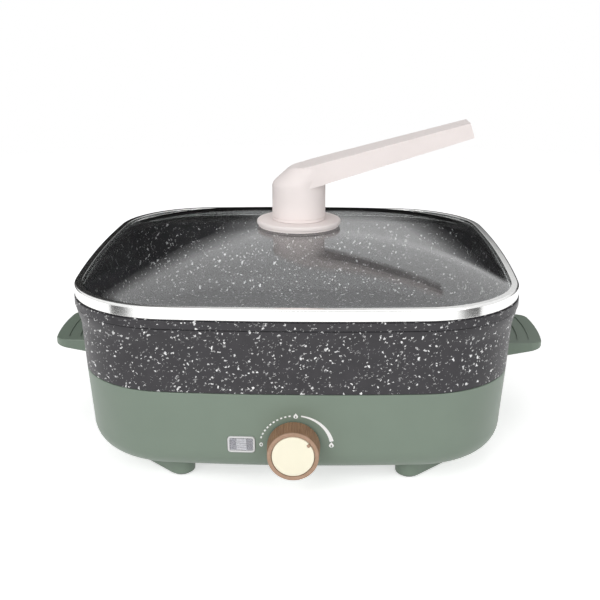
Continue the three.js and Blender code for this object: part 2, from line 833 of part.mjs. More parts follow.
function circleShape(radius, sides) {
  const points = [];
  for (let side = 0; side < sides; side += 1) {
    const angle = 2 * Math.PI * side / sides;
    points.push(new THREE.Vector2(radius * Math.cos(angle), radius * Math.sin(angle)));
  }
  return new THREE.Shape(points);
}

function tube(curve, radius, steps, sides) {
  const options = { steps, extrudePath: curve, bevelEnabled: false };
  return new THREE.ExtrudeGeometry(circleShape(radius, sides), options);
}

function heatingElement() {
  return tube(elementCurve(), elementRadius, elementSteps, elementSides);
}

function terminalBushes() {
  return sides.map((side) => {
    const x = side * elementEndsHalfSpacing;
    const back = elementEndY - seatGap;
    const front = back - terminalBushLength;
    const bush = cylinderY(terminalBushRadius, front, back, x, elementZ);
    const bore = cylinderY(terminalPinRadius + seatGap, front - cutOverrun, back + cutOverrun, x, elementZ);
    return cut(bush, bore);
  });
}

function terminalPins() {
  const back = elementEndY - seatGap;
  const front = back - terminalPinLength;
  return sides.map((side) => (
    cylinderY(terminalPinRadius, front, back, side * elementEndsHalfSpacing, elementZ, shankFacets)));
}

// Inner face of the pot's wall at a height.
function potInside(z) {
  const seamInner = seamHalfWidth - housingWall - potSideGap - potWall;
  const slopeShare = (potMouthHalfWidth - seamInner) / (potRimHeight - seamHeight);
  const wall = wallSection(z);
  const halfWidth = seamInner + slopeShare * (z - seamHeight);
  return inset(wall, wall.halfWidth - halfWidth);
}

// Sections round a fillet between a level floor and a wall, from the floor up.
function filletSections(wall, radius, floorZ) {
  const sections = [];
  for (let step = 0; step <= filletSteps; step += 1) {
    const turn = (1 - step / filletSteps) * Math.PI / 2;
    const z = floorZ + radius * (1 - Math.sin(turn));
    sections.push(inset(wall(z), radius * (1 - Math.cos(turn)), z));
  }
  return sections;
}

// Ridge under the pot that the heating element is pressed into.
function elementRidge(bottom, top) {
  const outline = (margin) => {
    const width = 2 * (elementHalfWidth + margin);
    return roundedRectangle(width, width, elementCornerRadius + margin);
  };
  const outer = plate(outline(ridgeHalfWidth), bottom, top, cornerSteps);
  const inner = plate(outline(-ridgeHalfWidth), bottom - cutOverrun, top + cutOverrun, cornerSteps);
  return cut(outer, inner);
}

function atBracketBosses(make) {
  return sides.map((side) => make(side * bracketBossHalfSpacing, bracketBossY));
}

function pot() {
  const insideHousing = (z) => inset(wallSection(z), housingWall + potSideGap);
  const shoulder = seamHeight + seatGap;
  const flangeBottomZ = potRimHeight - potFlangeHeight;
  const cornerAt = (z) => wallSection(z).cornerRadius;
  const flange = (halfWidth, z) => section(halfWidth, cornerAt(z), z);
  const outer = loft([
    ...filletSections(insideHousing, potOuterFillet, potUnderside),
    insideHousing(shoulder),
    wallSection(shoulder + seatGap),
    wallSection(potRimHeight - potCoveEnd),
    flange(potFlangeHalfWidth - potCoveInset, potRimHeight - potCoveHeight),
    flange(potFlangeHalfWidth - potFlangeStep, flangeBottomZ),
    flange(potFlangeHalfWidth, flangeBottomZ),
    flange(potFlangeHalfWidth, potRimHeight - potFlangeEdge),
    flange(potFlangeHalfWidth - potFlangeEdge, potRimHeight),
  ]);
  const inner = loft([
    ...filletSections(potInside, potInnerFillet, potFloorTop),
    potInside(potRimHeight + cutOverrun),
  ]);
  const bossTop = potUnderside + potFloorThickness / 3;
  const bosses = [
    ...atCorners(() => cylinderZ(potBossRadius, potBossBottom, bossTop)),
    ...atBracketBosses((x, y) => cylinderZ(bracketBossRadius, bracketBossBottom, bossTop, x, y)),
    cylinderZ(earthBossRadius, earthBossBottom, bossTop, earthX, earthY),
  ];
  const bore = (radius, bottom, x, y) => (
    cylinderZ(radius + seatGap, bottom - cutOverrun, potUnderside + potBoreRoom, x, y));
  const bores = [
    ...atCorners(() => bore(potScrewRadius, potBossBottom)),
    ...atBracketBosses((x, y) => bore(bracketScrewRadius, bracketBossBottom, x, y)),
    bore(earthScrewRadius, earthBossBottom, earthX, earthY),
  ];
  const groove = tube(elementCurve(), elementRadius + seatGap, elementSteps, elementSides);
  const body = joined(cut(outer, inner), elementRidge(potUnderside - ridgeHeight, bossTop), ...bosses);
  return cut(body, groove, ...bores);
}

function heatShield() {
  const edge = section(shieldHalfWidth, shieldCornerRadius, shieldTop - shieldLip);
  const outer = loft([edge, inset(edge, 0, shieldTop)]);
  const inner = loft([
    inset(edge, shieldThickness, shieldTop - shieldLip - cutOverrun),
    inset(edge, shieldThickness, shieldBottom),
  ]);
  const low = shieldTop - shieldLip - cutOverrun;
  const high = shieldTop + cutOverrun;
  const notch = block(
    new THREE.Vector3(-shieldNotchHalfWidth, -shieldHalfWidth - cutOverrun, low),
    new THREE.Vector3(shieldNotchHalfWidth, shieldNotchDepth - shieldHalfWidth, high),
  );
  const portLength = shieldPortBack - shieldPortFront;
  const portShape = roundedRectangle(2 * shieldPortHalfWidth, portLength, shieldPortRadius);
  const portMiddle = (shieldPortFront + shieldPortBack) / 2;
  const port = plate(portShape, low, high, smallSteps).translate(0, portMiddle, 0);
  const holes = atCorners(() => cylinderZ(potScrewRadius + runningGap, low, high));
  return cut(outer, inner, notch, port, ...holes);
}

function thermostatBody() {
  const body = block(
    new THREE.Vector3(-thermostatHalfWidth, thermostatFront, knobHeight - thermostatHeight / 2),
    new THREE.Vector3(thermostatHalfWidth, thermostatBack, knobHeight + thermostatHeight / 2),
  );
  const bushFront = thermostatFront - thermostatBushLength;
  const bush = cylinderY(thermostatBushRadius, bushFront, thermostatFront + cutOverrun, 0, knobHeight);
  const room = spindleRadius + runningGap;
  const bore = cylinderY(room, bushFront - cutOverrun, spindleBack + seatGap, 0, knobHeight);
  return cut(joined(body, bush), bore);
}

function thermostatBracket() {
  const top = bracketBossBottom - seatGap;
  const bottom = top - bracketDrop;
  const back = bracketFront + bracketThickness;
  const upright = block(
    new THREE.Vector3(-bracketHalfWidth, bracketFront, bottom),
    new THREE.Vector3(bracketHalfWidth, back, top),
  );
  const level = block(
    new THREE.Vector3(-bracketHalfWidth, bracketFront, top - bracketThickness),
    new THREE.Vector3(bracketHalfWidth, bracketFront + bracketDepth, top),
  );
  const bushRoom = thermostatBushRadius + seatGap;
  const bushHole = cylinderY(bushRoom, bracketFront - cutOverrun, back + cutOverrun, 0, knobHeight);
  const screwRoom = bracketScrewRadius + seatGap;
  const screwHoles = atBracketBosses((x, y) => (
    cylinderZ(screwRoom, top - bracketThickness - cutOverrun, top + cutOverrun, x, y)));
  return cut(joined(upright, level), bushHole, ...screwHoles);
}

function bracketScrews() {
  const seat = bracketBossBottom - seatGap - bracketThickness - seatGap;
  const tip = bracketBossBottom + bracketScrewReach;
  return atBracketBosses((x, y) => (
    screwUp(bracketScrewHeadRadius, bracketScrewHeadHeight, bracketScrewRadius, seat, tip, x, y)));
}

function thermostatNut() {
  const back = bracketFront - seatGap;
  const front = back - nutThickness;
  const nut = cylinderY(nutAcrossCorners / 2, front, back, 0, knobHeight, nutSides);
  const room = thermostatBushRadius + seatGap;
  const bore = cylinderY(room, front - cutOverrun, back + cutOverrun, 0, knobHeight);
  return cut(nut, bore);
}

function thermostatTabs() {
  const front = thermostatBack + seatGap;
  return sides.map((side) => block(
    new THREE.Vector3(side * tabHalfSpacing - tabThickness / 2, front, knobHeight - tabWidth / 2),
    new THREE.Vector3(side * tabHalfSpacing + tabThickness / 2, front + tabLength, knobHeight + tabWidth / 2),
  ));
}

// A round bar along Y with a flat on its upper side; the knob's bore repeats it with a gap.
function flattedBar(radius, flatDepth, front, back) {
  const bar = cylinderY(radius, front, back, 0, knobHeight);
  const flat = block(
    new THREE.Vector3(-radius - cutOverrun, front - cutOverrun, knobHeight + radius - flatDepth),
    new THREE.Vector3(radius + cutOverrun, back + cutOverrun, knobHeight + radius + cutOverrun),
  );
  return cut(bar, flat);
}

function thermostatSpindle() {
  const flatBack = spindleFront + spindleFlatLength;
  const flatted = flattedBar(spindleRadius, spindleFlatDepth, spindleFront, flatBack + spindleRadius);
  const plain = cylinderY(spindleRadius, flatBack, spindleBack - seatGap, 0, knobHeight);
  return joined(plain, flatted);
}

function flutedOutline(radius, depth) {
  const points = [];
  const count = 2 * knobFluteCount;
  for (let index = 0; index < count; index += 1) {
    const angle = 2 * Math.PI * index / count;
    const reach = radius - (index % 2) * depth;
    points.push(new THREE.Vector2(reach * Math.cos(angle), reach * Math.sin(angle)));
  }
  return points;
}

// Built with the knob's front up, then turned to face -Y.
function facingFront(geometry) {
  return geometry.rotateX(Math.PI / 2).translate(0, 0, knobHeight);
}

function knobRing() {
  const smooth = -knobFront - knobSmoothFront;
  const outer = skin([
    { points: flutedOutline(knobBackRadius, knobFluteDepth), z: -knobBack },
    { points: flutedOutline(knobFrontRadius + knobFluteDepth / 2, knobFluteDepth), z: smooth },
    { points: flutedOutline(knobFrontRadius, 0), z: smooth + knobFluteDepth },
    { points: flutedOutline(knobFrontRadius, 0), z: -knobFront },
  ]);
  const bore = cylinderZ(knobBoreRadius, -knobBack - cutOverrun, -knobFront + cutOverrun, 0, 0, fineFacets);
  return facingFront(cut(outer, bore));
}

function knobCap() {
  const radius = knobBoreRadius - seatGap;
  const back = -knobFront - knobCapThickness;
  const profile = [
    new THREE.Vector2(0, back),
    new THREE.Vector2(radius, back),
    new THREE.Vector2(radius, -knobFront - knobCapEdge),
    new THREE.Vector2(radius - knobCapEdge, -knobFront),
    new THREE.Vector2(radius / 2, -knobFront + knobCapCrown * 3 / 4),
    new THREE.Vector2(0, -knobFront + knobCapCrown),
  ];
  const cap = new THREE.LatheGeometry(profile, fineFacets).rotateX(Math.PI / 2);
  const mark = block(
    new THREE.Vector3(-knobMarkWidth / 2, radius - knobMarkDepth, back - cutOverrun),
    new THREE.Vector3(knobMarkWidth / 2, radius + cutOverrun, -knobFront + cutOverrun),
  );
  return facingFront(cut(cap, mark.rotateZ(-knobMarkAngle)));
}

function knobCore() {
  const radius = knobBoreRadius - seatGap;
  const front = -knobFront - knobCapThickness - seatGap;
  const back = -knobBack + knobCoreBackset;
  const cup = cylinderZ(radius, back, front, 0, 0, fineFacets);
  const web = front - knobWebThickness;
  const hollow = cylinderZ(radius - knobCoreWall, back - cutOverrun, web, 0, 0, fineFacets);
  const hub = cylinderZ(knobHubRadius, -knobHubBack, front - knobWebThickness / 2);
  const body = facingFront(joined(cut(cup, hollow), hub));
  const bore = flattedBar(
    spindleRadius + seatGap, spindleFlatDepth, spindleFront - seatGap, knobHubBack + cutOverrun,
  );
  return cut(body, bore);
}

function lampLens() {
  return atLamp(joined(lensFlange(0, lensProud), lensPlug(0, lensPlugDepth)));
}

function neonLamp() {
  return atLamp(cylinderX(neonRadius, -neonLength / 2, neonLength / 2, 0, neonZ));
}

function lampHolder() {
  const outline = roundedRectangle(lensWidth, lampHolderHeight, lensCornerRadius);
  const holder = plate(outline, lampHolderBack, lampHolderFront, smallSteps);
  const roomEnd = neonLength / 2 + seatGap;
  const roomRadius = neonRadius + seatGap;
  const room = cylinderX(roomRadius, -roomEnd, roomEnd, 0, neonZ);
  const mouth = block(
    new THREE.Vector3(-roomEnd, -roomRadius, neonZ),
    new THREE.Vector3(roomEnd, roomRadius, lampHolderFront + cutOverrun),
  );
  return atLamp(cut(holder, room, mouth, lensPlug(seatGap, lensPlugDepth + seatGap)));
}

function pinBlock({ x, z }, margin, front, back) {
  return block(
    new THREE.Vector3(x - inletPinWidth / 2 - margin, front, z - inletPinHeight / 2 - margin),
    new THREE.Vector3(x + inletPinWidth / 2 + margin, back, z + inletPinHeight / 2 + margin),
  );
}

function inletHousing() {
  const flange = uprightBlock(
    inletFlangeWidth, inletFlangeHeight, inletCornerRadius, inletPlateBack, inletFront, 0, inletZ,
  );
  const collar = uprightBlock(
    inletCollarWidth, inletCollarHeight, inletCornerRadius, inletPlateBack, inletCollarReach, 0, inletZ,
  );
  const body = uprightBlock(
    inletBodyWidth, inletBodyHeight, inletCornerRadius - seatGap, inletBodyBack, inletFront, 0, inletZ,
  );
  const socket = uprightBlock(
    inletSocketWidth, inletSocketHeight, inletCornerRadius - seatGap,
    inletSocketBack, inletCollarReach + cutOverrun, 0, inletZ,
  );
  const slots = inletPins.map((pin) => (
    pinBlock(pin, seatGap, inletBodyBack - cutOverrun, inletSocketBack + cutOverrun)));
  const screwHoles = sides.map((side) => cylinderY(
    inletScrewRadius + seatGap, inletPlateBack - cutOverrun, inletFront + cutOverrun,
    side * inletScrewHalfSpacing, inletZ,
  ));
  return cut(joined(flange, collar, body), socket, ...slots, ...screwHoles);
}

function inletPinSet() {
  const front = inletBodyBack - inletTabReach;
  const back = inletCollarReach - inletPinTipSetback;
  return inletPins.map((pin) => pinBlock(pin, 0, front, back));
}

function inletScrews() {
  const seat = inletFront + seatGap;
  return sides.map((side) => {
    const x = side * inletScrewHalfSpacing;
    const head = cylinderY(inletScrewHeadRadius, seat, seat + inletScrewHeadHeight, x, inletZ);
    const shank = cylinderY(
      inletScrewRadius, seat - inletScrewReach, seat + inletScrewHeadHeight / 2, x, inletZ, shankFacets,
    );
    return joined(head, shank);
  });
}

function thermalFuse() {
  const lead = fuseLength / 2 + fuseLeadLength;
  const can = cylinderX(fuseRadius, fuseX - fuseLength / 2, fuseX + fuseLength / 2, fuseY, fuseZ);
  const leads = cylinderX(fuseLeadRadius, fuseX - lead, fuseX + lead, fuseY, fuseZ, shankFacets);
  return joined(can, leads);
}

// Clip that holds the fuse up against the pot: a strip bent round it, with two feet.
function fuseClip() {
  const inner = fuseRadius + seatGap;
  const outer = inner + clipThickness;
  const top = potUnderside - seatGap;
  const shape = new THREE.Shape();
  shape.moveTo(-outer - clipFoot, top - clipThickness);
  shape.lineTo(-outer, top - clipThickness);
  shape.absarc(0, fuseZ, outer, Math.PI, 2 * Math.PI);
  shape.lineTo(outer, top - clipThickness);
  shape.lineTo(outer + clipFoot, top - clipThickness);
  shape.lineTo(outer + clipFoot, top);
  shape.lineTo(inner, top);
  shape.absarc(0, fuseZ, inner, 2 * Math.PI, Math.PI, true);
  shape.lineTo(-inner, top);
  shape.lineTo(-outer - clipFoot, top);
  shape.closePath();
  const strip = plate(shape, -clipWidth / 2, clipWidth / 2, endSteps);
  return strip.rotateX(Math.PI / 2).rotateZ(Math.PI / 2).translate(fuseX, fuseY, 0);
}

function earthScrew() {
  const seat = earthBossBottom - seatGap;
  const tip = potUnderside + potBoreRoom - seatGap;
  return screwUp(earthScrewHeadRadius, earthScrewHeadHeight, earthScrewRadius, seat, tip, earthX, earthY);
}

const towardsFront = new THREE.Vector3(0, -1, 0);
const towardsBack = new THREE.Vector3(0, 1, 0);
const towardsLeft = new THREE.Vector3(-1, 0, 0);
const towardsRight = new THREE.Vector3(1, 0, 0);

function inletTabEnd(index) {
  const { x, z } = inletPins[index];
  return new THREE.Vector3(x, inletBodyBack - inletTabReach - seatGap, z);
}

function thermostatTabEnd(side) {
  const y = thermostatBack + seatGap + tabLength + seatGap;
  return new THREE.Vector3(side * tabHalfSpacing, y, knobHeight);
}

function elementPinEnd(side) {
  const y = elementEndY - terminalPinLength - 2 * seatGap;
  return new THREE.Vector3(side * elementEndsHalfSpacing, y, elementZ);
}

function fuseEnd(side) {
  const reach = fuseLength / 2 + fuseLeadLength + seatGap;
  return new THREE.Vector3(fuseX + side * reach, fuseY, fuseZ);
}

// Places that the wires pass, chosen by hand inside the base.
const liveRoute = [
  [-26, 98, 30],
  [-26, 0, 21],
  [-14, -56, 22],
];
const switchedRoute = [
  [10, -56, 26],
  [-16, 0, 28],
  [-30, 44, 38],
  [-35, 54, 50],
  [-54, 42, 51.8],
];
const neutralRoute = [
  [26, 96, 30],
  [32, 58, 32],
  [28, 36, 42],
];
const earthRoute = [
  [12, 100, 34],
  [26, 84, 37],
];
const lampLiveRoute = [
  [-34, -116, 26],
  [-18, -90, 23],
  [2, -80, 26],
  [13, -86, 32],
];
const lampNeutralRoute = [
  [-46, -112, 24],
  [-46, 0, 21],
  [-34, 84, 21],
  [4, 90, 21],
  [20, 108, 25],
  [18, 121, 32],
];

// A wire leaves each end straight and passes its route between them.
function wire(start, startWay, route, end, endWay, radius = wireRadius) {
  const lead = (from, way) => new THREE.Vector3().copy(from).addScaledVector(way, wireLead);
  const between = route.map((place) => new THREE.Vector3(...place));
  const points = [start, lead(start, startWay), ...between, lead(end, endWay), end];
  return tube(new THREE.CatmullRomCurve3(points, false, 'centripetal'), radius, wireSteps, wireSides);
}

function liveWire() {
  return wire(inletTabEnd(0), towardsFront, liveRoute, thermostatTabEnd(-1), towardsBack);
}

function switchedWire() {
  return wire(thermostatTabEnd(1), towardsBack, switchedRoute, fuseEnd(-1), towardsLeft);
}

function elementWire() {
  return wire(fuseEnd(1), towardsRight, [], elementPinEnd(-1), towardsFront);
}

function neutralWire() {
  return wire(inletTabEnd(1), towardsFront, neutralRoute, elementPinEnd(1), towardsFront);
}

function earthWire() {
  const headMiddle = earthBossBottom - seatGap - earthScrewHeadHeight / 2;
  const headSide = new THREE.Vector3(earthX - earthScrewHeadRadius - seatGap, earthY, headMiddle);
  return wire(inletTabEnd(2), towardsFront, earthRoute, headSide, towardsLeft);
}

// Two thin wires, from behind the lamp to the thermostat and to the inlet.
function lampWires() {
  const behind = lampHolderBack - seatGap;
  const lampEnd = (side) => atLamp(new THREE.Vector3(side * lampWireHalfSpacing, 0, behind));
  const tabMiddle = tabLength / 2 + seatGap;
  const tabSide = thermostatTabEnd(1).add(new THREE.Vector3(tabThickness / 2 + seatGap, -tabMiddle, 0));
  const pinSide = inletTabEnd(1).add(new THREE.Vector3(inletPinWidth / 2 + seatGap, inletTabReach / 2, 0));
  return [
    wire(lampEnd(-1), towardsBack, lampNeutralRoute, pinSide, towardsRight, lampWireRadius),
    wire(lampEnd(1), towardsBack, lampLiveRoute, tabSide, towardsRight, lampWireRadius),
  ];
}

// Section of the lid's rim band: a strip folded round the glass edge, with a hem
// that stands on the pot's rim and a skirt that drops inside it.
function lidRimBand() {
  const shelfTop = glassBottom - seatGap;
  const skirtBottom = lidBottom - bandSkirtDrop;
  const innerRadius = bandEdgeRadius - bandSheet;
  const arc = (radius, step) => {
    const turn = step / smallSteps * Math.PI / 2;
    const depth = bandEdgeRadius - radius * Math.cos(turn);
    return [depth, lidTop - bandEdgeRadius + radius * Math.sin(turn)];
  };
  const profile = [[0, lidBottom]];
  for (let step = 0; step <= smallSteps; step += 1) {
    profile.push(arc(bandEdgeRadius, step));
  }
  profile.push([bandLip, lidTop], [bandLip, lidTop - bandSheet]);
  for (let step = smallSteps; step >= 0; step -= 1) {
    profile.push(arc(innerRadius, step));
  }
  profile.push(
    [bandSheet, shelfTop],
    [bandSkirtInset + bandSheet, shelfTop],
    [bandSkirtInset + bandSheet, skirtBottom],
    [bandSkirtInset, skirtBottom],
    [bandSkirtInset, shelfTop - bandSheet],
    [bandHem, shelfTop - bandSheet],
    [bandHem, lidBottom],
  );
  const outside = section(bandHalfWidth, bandCornerRadius, lidBottom);
  return loft(profile.map(([depth, z]) => inset(outside, depth, z)), true);
}

// Ring of the glass at a share of its half width: round near the middle, square at the edge.
function glassRing(share, z) {
  const halfWidth = bandHalfWidth - bandSheet - seatGap;
  const edgeRoundness = (bandCornerRadius - bandSheet - seatGap) / halfWidth;
  const roundness = THREE.MathUtils.lerp(glassMiddleShare, edgeRoundness, share);
  return section(halfWidth * share, roundness * halfWidth * share, z);
}

function lidGlass() {
  const halfWidth = bandHalfWidth - bandSheet - seatGap;
  const flatShare = 1 - glassFlat / halfWidth;
  const holeShare = glassHoleRadius / halfWidth;
  const shares = glassRingShares.map((share) => share * flatShare);
  const height = (share) => glassRise * (1 - Math.min(share / flatShare, 1) ** glassPower);
  const rings = [1, ...shares, holeShare].map((share) => ({ share, rise: height(share) }));
  const top = rings.map(({ share, rise }) => glassRing(share, glassTop + rise));
  const bottom = rings.map(({ share, rise }) => glassRing(share, glassBottom + rise));
  return loft([...top, ...bottom.reverse()], true);
}

// A flat ring, or a disc with a hole.
function ring(innerRadius, outerRadius, bottom, top, facets = fineFacets) {
  const profile = [
    new THREE.Vector2(innerRadius, bottom),
    new THREE.Vector2(outerRadius, bottom),
    new THREE.Vector2(outerRadius, top),
    new THREE.Vector2(innerRadius, top),
    new THREE.Vector2(innerRadius, bottom),
  ];
  return new THREE.LatheGeometry(profile, facets).rotateX(Math.PI / 2);
}

function handleGasket() {
  const bottom = crownTop + seatGap;
  return ring(glassHoleRadius, gasketRadius, bottom, bottom + gasketThickness);
}

function handleFlange() {
  const bore = lidScrewRadius + seatGap;
  const profile = [
    new THREE.Vector2(bore, flangeBottom),
    new THREE.Vector2(flangeRadius - flangeEdge / 2, flangeBottom),
    new THREE.Vector2(flangeRadius, flangeBottom + flangeEdge / 2),
    new THREE.Vector2(flangeRadius, flangeTop - flangeEdge),
    new THREE.Vector2(flangeRadius - flangeEdge, flangeTop),
    new THREE.Vector2(bore, flangeTop),
    new THREE.Vector2(bore, flangeBottom),
  ];
  return new THREE.LatheGeometry(profile, fineFacets).rotateX(Math.PI / 2);
}

// Handle: a round post that leans over to a crown, and a flat arm that rises from it.
function lidHandle() {
  const at = (x, height) => [x, handleBottom + height];
  const far = handleCrownX + handleCrownRadius + cutOverrun;
  const crownLeft = handleCrownX - handleCrownRadius;
  const crownShare = (handleKneeHeight - handleCrownHeight) / (handleKneeX - crownLeft);
  const armShare = (handleTipHeight - handleKneeHeight) / (handleTipX - handleKneeX);
  const armTop = (x) => handleKneeHeight + armShare * (x - handleKneeX);
  const outline = (places) => {
    const shape = new THREE.Shape(places.map(([x, z]) => new THREE.Vector2(x, z)));
    return plate(shape, -far, far).rotateX(Math.PI / 2);
  };
  const round = (radius, x, height) => ({
    points: arcPoints(x, 0, radius, 0, 2 * Math.PI, fineFacets).slice(1),
    z: handleBottom + height,
  });
  const postBody = skin([
    round(handlePostRadius, 0, 0),
    round(handlePostRadius, 0, handleShoulderHeight),
    round(handleCrownRadius, handleCrownX, handleCrownHeight),
    round(handleCrownRadius, handleCrownX, armTop(far)),
  ]);
  const post = common(postBody, outline([
    at(-far, -cutOverrun),
    at(far, -cutOverrun),
    at(far, armTop(far)),
    at(handleKneeX, handleKneeHeight),
    at(-far, handleKneeHeight - crownShare * (handleKneeX + far)),
  ]));
  const armSide = outline([
    at(0, handleRootBottomHeight),
    at(handleTipBottomX, handleTipBottomHeight),
    at(handleTipX, handleTipHeight),
    at(handleCrownX, armTop(handleCrownX)),
    at(handleCrownX, handleCrownHeight),
    at(0, handleShoulderHeight),
  ]);
  const taperShare = (handleCrownRadius - handleTipHalfWidth) / (handleTipBottomX - handleCrownX);
  const rootHalfWidth = handleCrownRadius + taperShare * handleCrownX;
  const plan = new THREE.Shape([
    new THREE.Vector2(0, -rootHalfWidth),
    new THREE.Vector2(handleTipBottomX, -handleTipHalfWidth),
    new THREE.Vector2(handleTipBottomX, handleTipHalfWidth),
    new THREE.Vector2(0, rootHalfWidth),
  ]);
  const arm = common(armSide, plate(plan, handleBottom, handleBottom + handleTipHeight + cutOverrun));
  const boreTop = handleBottom + lidScrewReach + seatGap;
  const bore = cylinderZ(lidScrewRadius + seatGap, handleBottom - cutOverrun, boreTop);
  return cut(joined(post, arm), bore);
}

function innerGasket() {
  return ring(lidScrewRadius + seatGap, lidWasherRadius, innerGasketBottom, crownBottom - seatGap);
}

function lidWasher() {
  return ring(lidScrewRadius + seatGap, lidWasherRadius, washerBottom, innerGasketBottom - seatGap);
}

function lidScrew() {
  const tip = handleBottom + lidScrewReach;
  return screwUp(lidScrewHeadRadius, lidScrewHeadHeight, lidScrewRadius, washerBottom - seatGap, tip, 0, 0);
}

// A finish: its colour, how rough and how metallic it is, and how much it hides.
function finish(color, roughness, metalness, opacity = 1) {
  return new THREE.MeshStandardMaterial({ color, roughness, metalness, opacity, transparent: opacity < 1 });
}

const materials = {
  housing: finish(0x82927f, 0.45, 0),
  cream: finish(0xf3ebe8, 0.4, 0),
  ivory: finish(0xfaf8e4, 0.35, 0),
  woodLook: finish(0xa87c58, 0.6, 0),
  castPot: finish(0x48464a, 0.5, 0.1),
  steel: finish(0xd8d8d8, 0.2, 1),
  zinc: finish(0xa9aaac, 0.45, 1),
  brass: finish(0xc2a05a, 0.35, 1),
  glass: finish(0xdfe4e4, 0.05, 0, 0.35),
  rubber: finish(0x2b2b2b, 0.85, 0),
  silicone: finish(0xd9d6d2, 0.7, 0),
  black: finish(0x1c1c1d, 0.5, 0),
  ceramic: finish(0xe9e4d8, 0.6, 0),
  wireLive: finish(0x7a4a2a, 0.6, 0),
  wireNeutral: finish(0x2f5f9e, 0.6, 0),
  wireEarth: finish(0x6f9a3a, 0.6, 0),
};

function piece(name, geometry, material) {
  const mesh = new THREE.Mesh(geometry, material);
  mesh.name = name;
  return mesh;
}

// Alike pieces, each with its own ending to the name.
function pieces(name, endings, geometries, material) {
  return geometries.map((geometry, index) => piece(`${name}_${endings[index]}`, geometry, material));
}

const leftRight = ['left', 'right'];
const corners = ['back_right', 'back_left', 'front_left', 'front_right'];
const middles = ['right', 'back', 'left', 'front'];

const base = new THREE.Group();
base.add(
  piece('base_housing', baseHousing(), materials.housing),
  piece('bottom_cover', bottomCover(), materials.housing),
  ...pieces('cover_screw', middles, coverScrews(), materials.zinc),
  ...pieces('foot_pad', corners, atCorners(footPad), materials.rubber),
  piece('pot', pot(), materials.castPot),
  ...pieces('pot_screw', corners, potScrews(), materials.zinc),
  piece('heating_element', heatingElement(), materials.zinc),
  ...pieces('terminal_bush', leftRight, terminalBushes(), materials.ceramic),
  ...pieces('terminal_pin', leftRight, terminalPins(), materials.zinc),
  piece('heat_shield', heatShield(), materials.zinc),
  piece('thermostat_body', thermostatBody(), materials.ceramic),
  piece('thermostat_bracket', thermostatBracket(), materials.zinc),
  ...pieces('bracket_screw', leftRight, bracketScrews(), materials.zinc),
  piece('thermostat_nut', thermostatNut(), materials.zinc),
  ...pieces('thermostat_tab', leftRight, thermostatTabs(), materials.brass),
  piece('lamp_lens', lampLens(), materials.glass),
  piece('lamp_holder', lampHolder(), materials.ceramic),
  piece('neon_lamp', neonLamp(), materials.glass),
  piece('inlet_housing', inletHousing(), materials.black),
  ...pieces('inlet_pin', [...leftRight, 'earth'], inletPinSet(), materials.brass),
  ...pieces('inlet_screw', leftRight, inletScrews(), materials.zinc),
  piece('thermal_fuse', thermalFuse(), materials.zinc),
  piece('fuse_clip', fuseClip(), materials.zinc),
  piece('earth_screw', earthScrew(), materials.zinc),
  piece('live_wire', liveWire(), materials.wireLive),
  piece('switched_wire', switchedWire(), materials.wireLive),
  piece('element_wire', elementWire(), materials.wireLive),
  piece('neutral_wire', neutralWire(), materials.wireNeutral),
  piece('earth_wire', earthWire(), materials.wireEarth),
  ...pieces('lamp_wire', leftRight, lampWires(), materials.wireNeutral),
);

const knob = new THREE.Group();
knob.add(
  piece('knob_ring', knobRing(), materials.woodLook),
  piece('knob_cap', knobCap(), materials.ivory),
  piece('knob_core', knobCore(), materials.woodLook),
  piece('thermostat_spindle', thermostatSpindle(), materials.zinc),
);

const lid = new THREE.Group();
lid.add(
  piece('lid_rim_band', lidRimBand(), materials.steel),
  piece('lid_glass', lidGlass(), materials.glass),
  piece('handle_gasket', handleGasket(), materials.silicone),
  piece('handle_flange', handleFlange(), materials.cream),
  piece('lid_handle', lidHandle(), materials.cream),
  piece('inner_gasket', innerGasket(), materials.silicone),
  piece('lid_washer', lidWasher(), materials.steel),
  piece('lid_screw', lidScrew(), materials.steel),
);

const skillet = new THREE.Group();
skillet.add(base, knob, lid);

export default skillet;
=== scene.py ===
# Looks of the electric skillet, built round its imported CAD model.
# Sizes are in millimetres and become metres where a mesh is made. +Z is up and
# -Y is the side with the knob, as in the CAD model.
import math

import bpy
from mathutils import Matrix, Vector


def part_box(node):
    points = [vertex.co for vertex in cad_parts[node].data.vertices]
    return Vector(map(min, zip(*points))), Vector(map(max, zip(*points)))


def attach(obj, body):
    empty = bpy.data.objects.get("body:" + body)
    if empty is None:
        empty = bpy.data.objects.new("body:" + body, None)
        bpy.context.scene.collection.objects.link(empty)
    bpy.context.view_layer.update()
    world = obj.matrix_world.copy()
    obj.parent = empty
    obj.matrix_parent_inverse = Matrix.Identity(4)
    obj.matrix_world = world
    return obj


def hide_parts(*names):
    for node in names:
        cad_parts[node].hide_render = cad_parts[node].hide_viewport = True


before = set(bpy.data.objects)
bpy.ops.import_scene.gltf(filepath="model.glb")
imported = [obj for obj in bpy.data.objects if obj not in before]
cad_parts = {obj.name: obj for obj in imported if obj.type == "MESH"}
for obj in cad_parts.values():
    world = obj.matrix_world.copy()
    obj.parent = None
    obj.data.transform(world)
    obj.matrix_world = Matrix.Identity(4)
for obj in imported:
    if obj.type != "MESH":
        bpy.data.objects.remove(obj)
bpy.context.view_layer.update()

MM = 0.001
CUT_OVERRUN = 3  # how far a cutting body runs past the face that it cuts
scene = bpy.context.scene


def node_box(name):
    """Lowest and highest corner of a CAD node, in millimetres."""
    low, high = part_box(name)
    return low / MM, high / MM


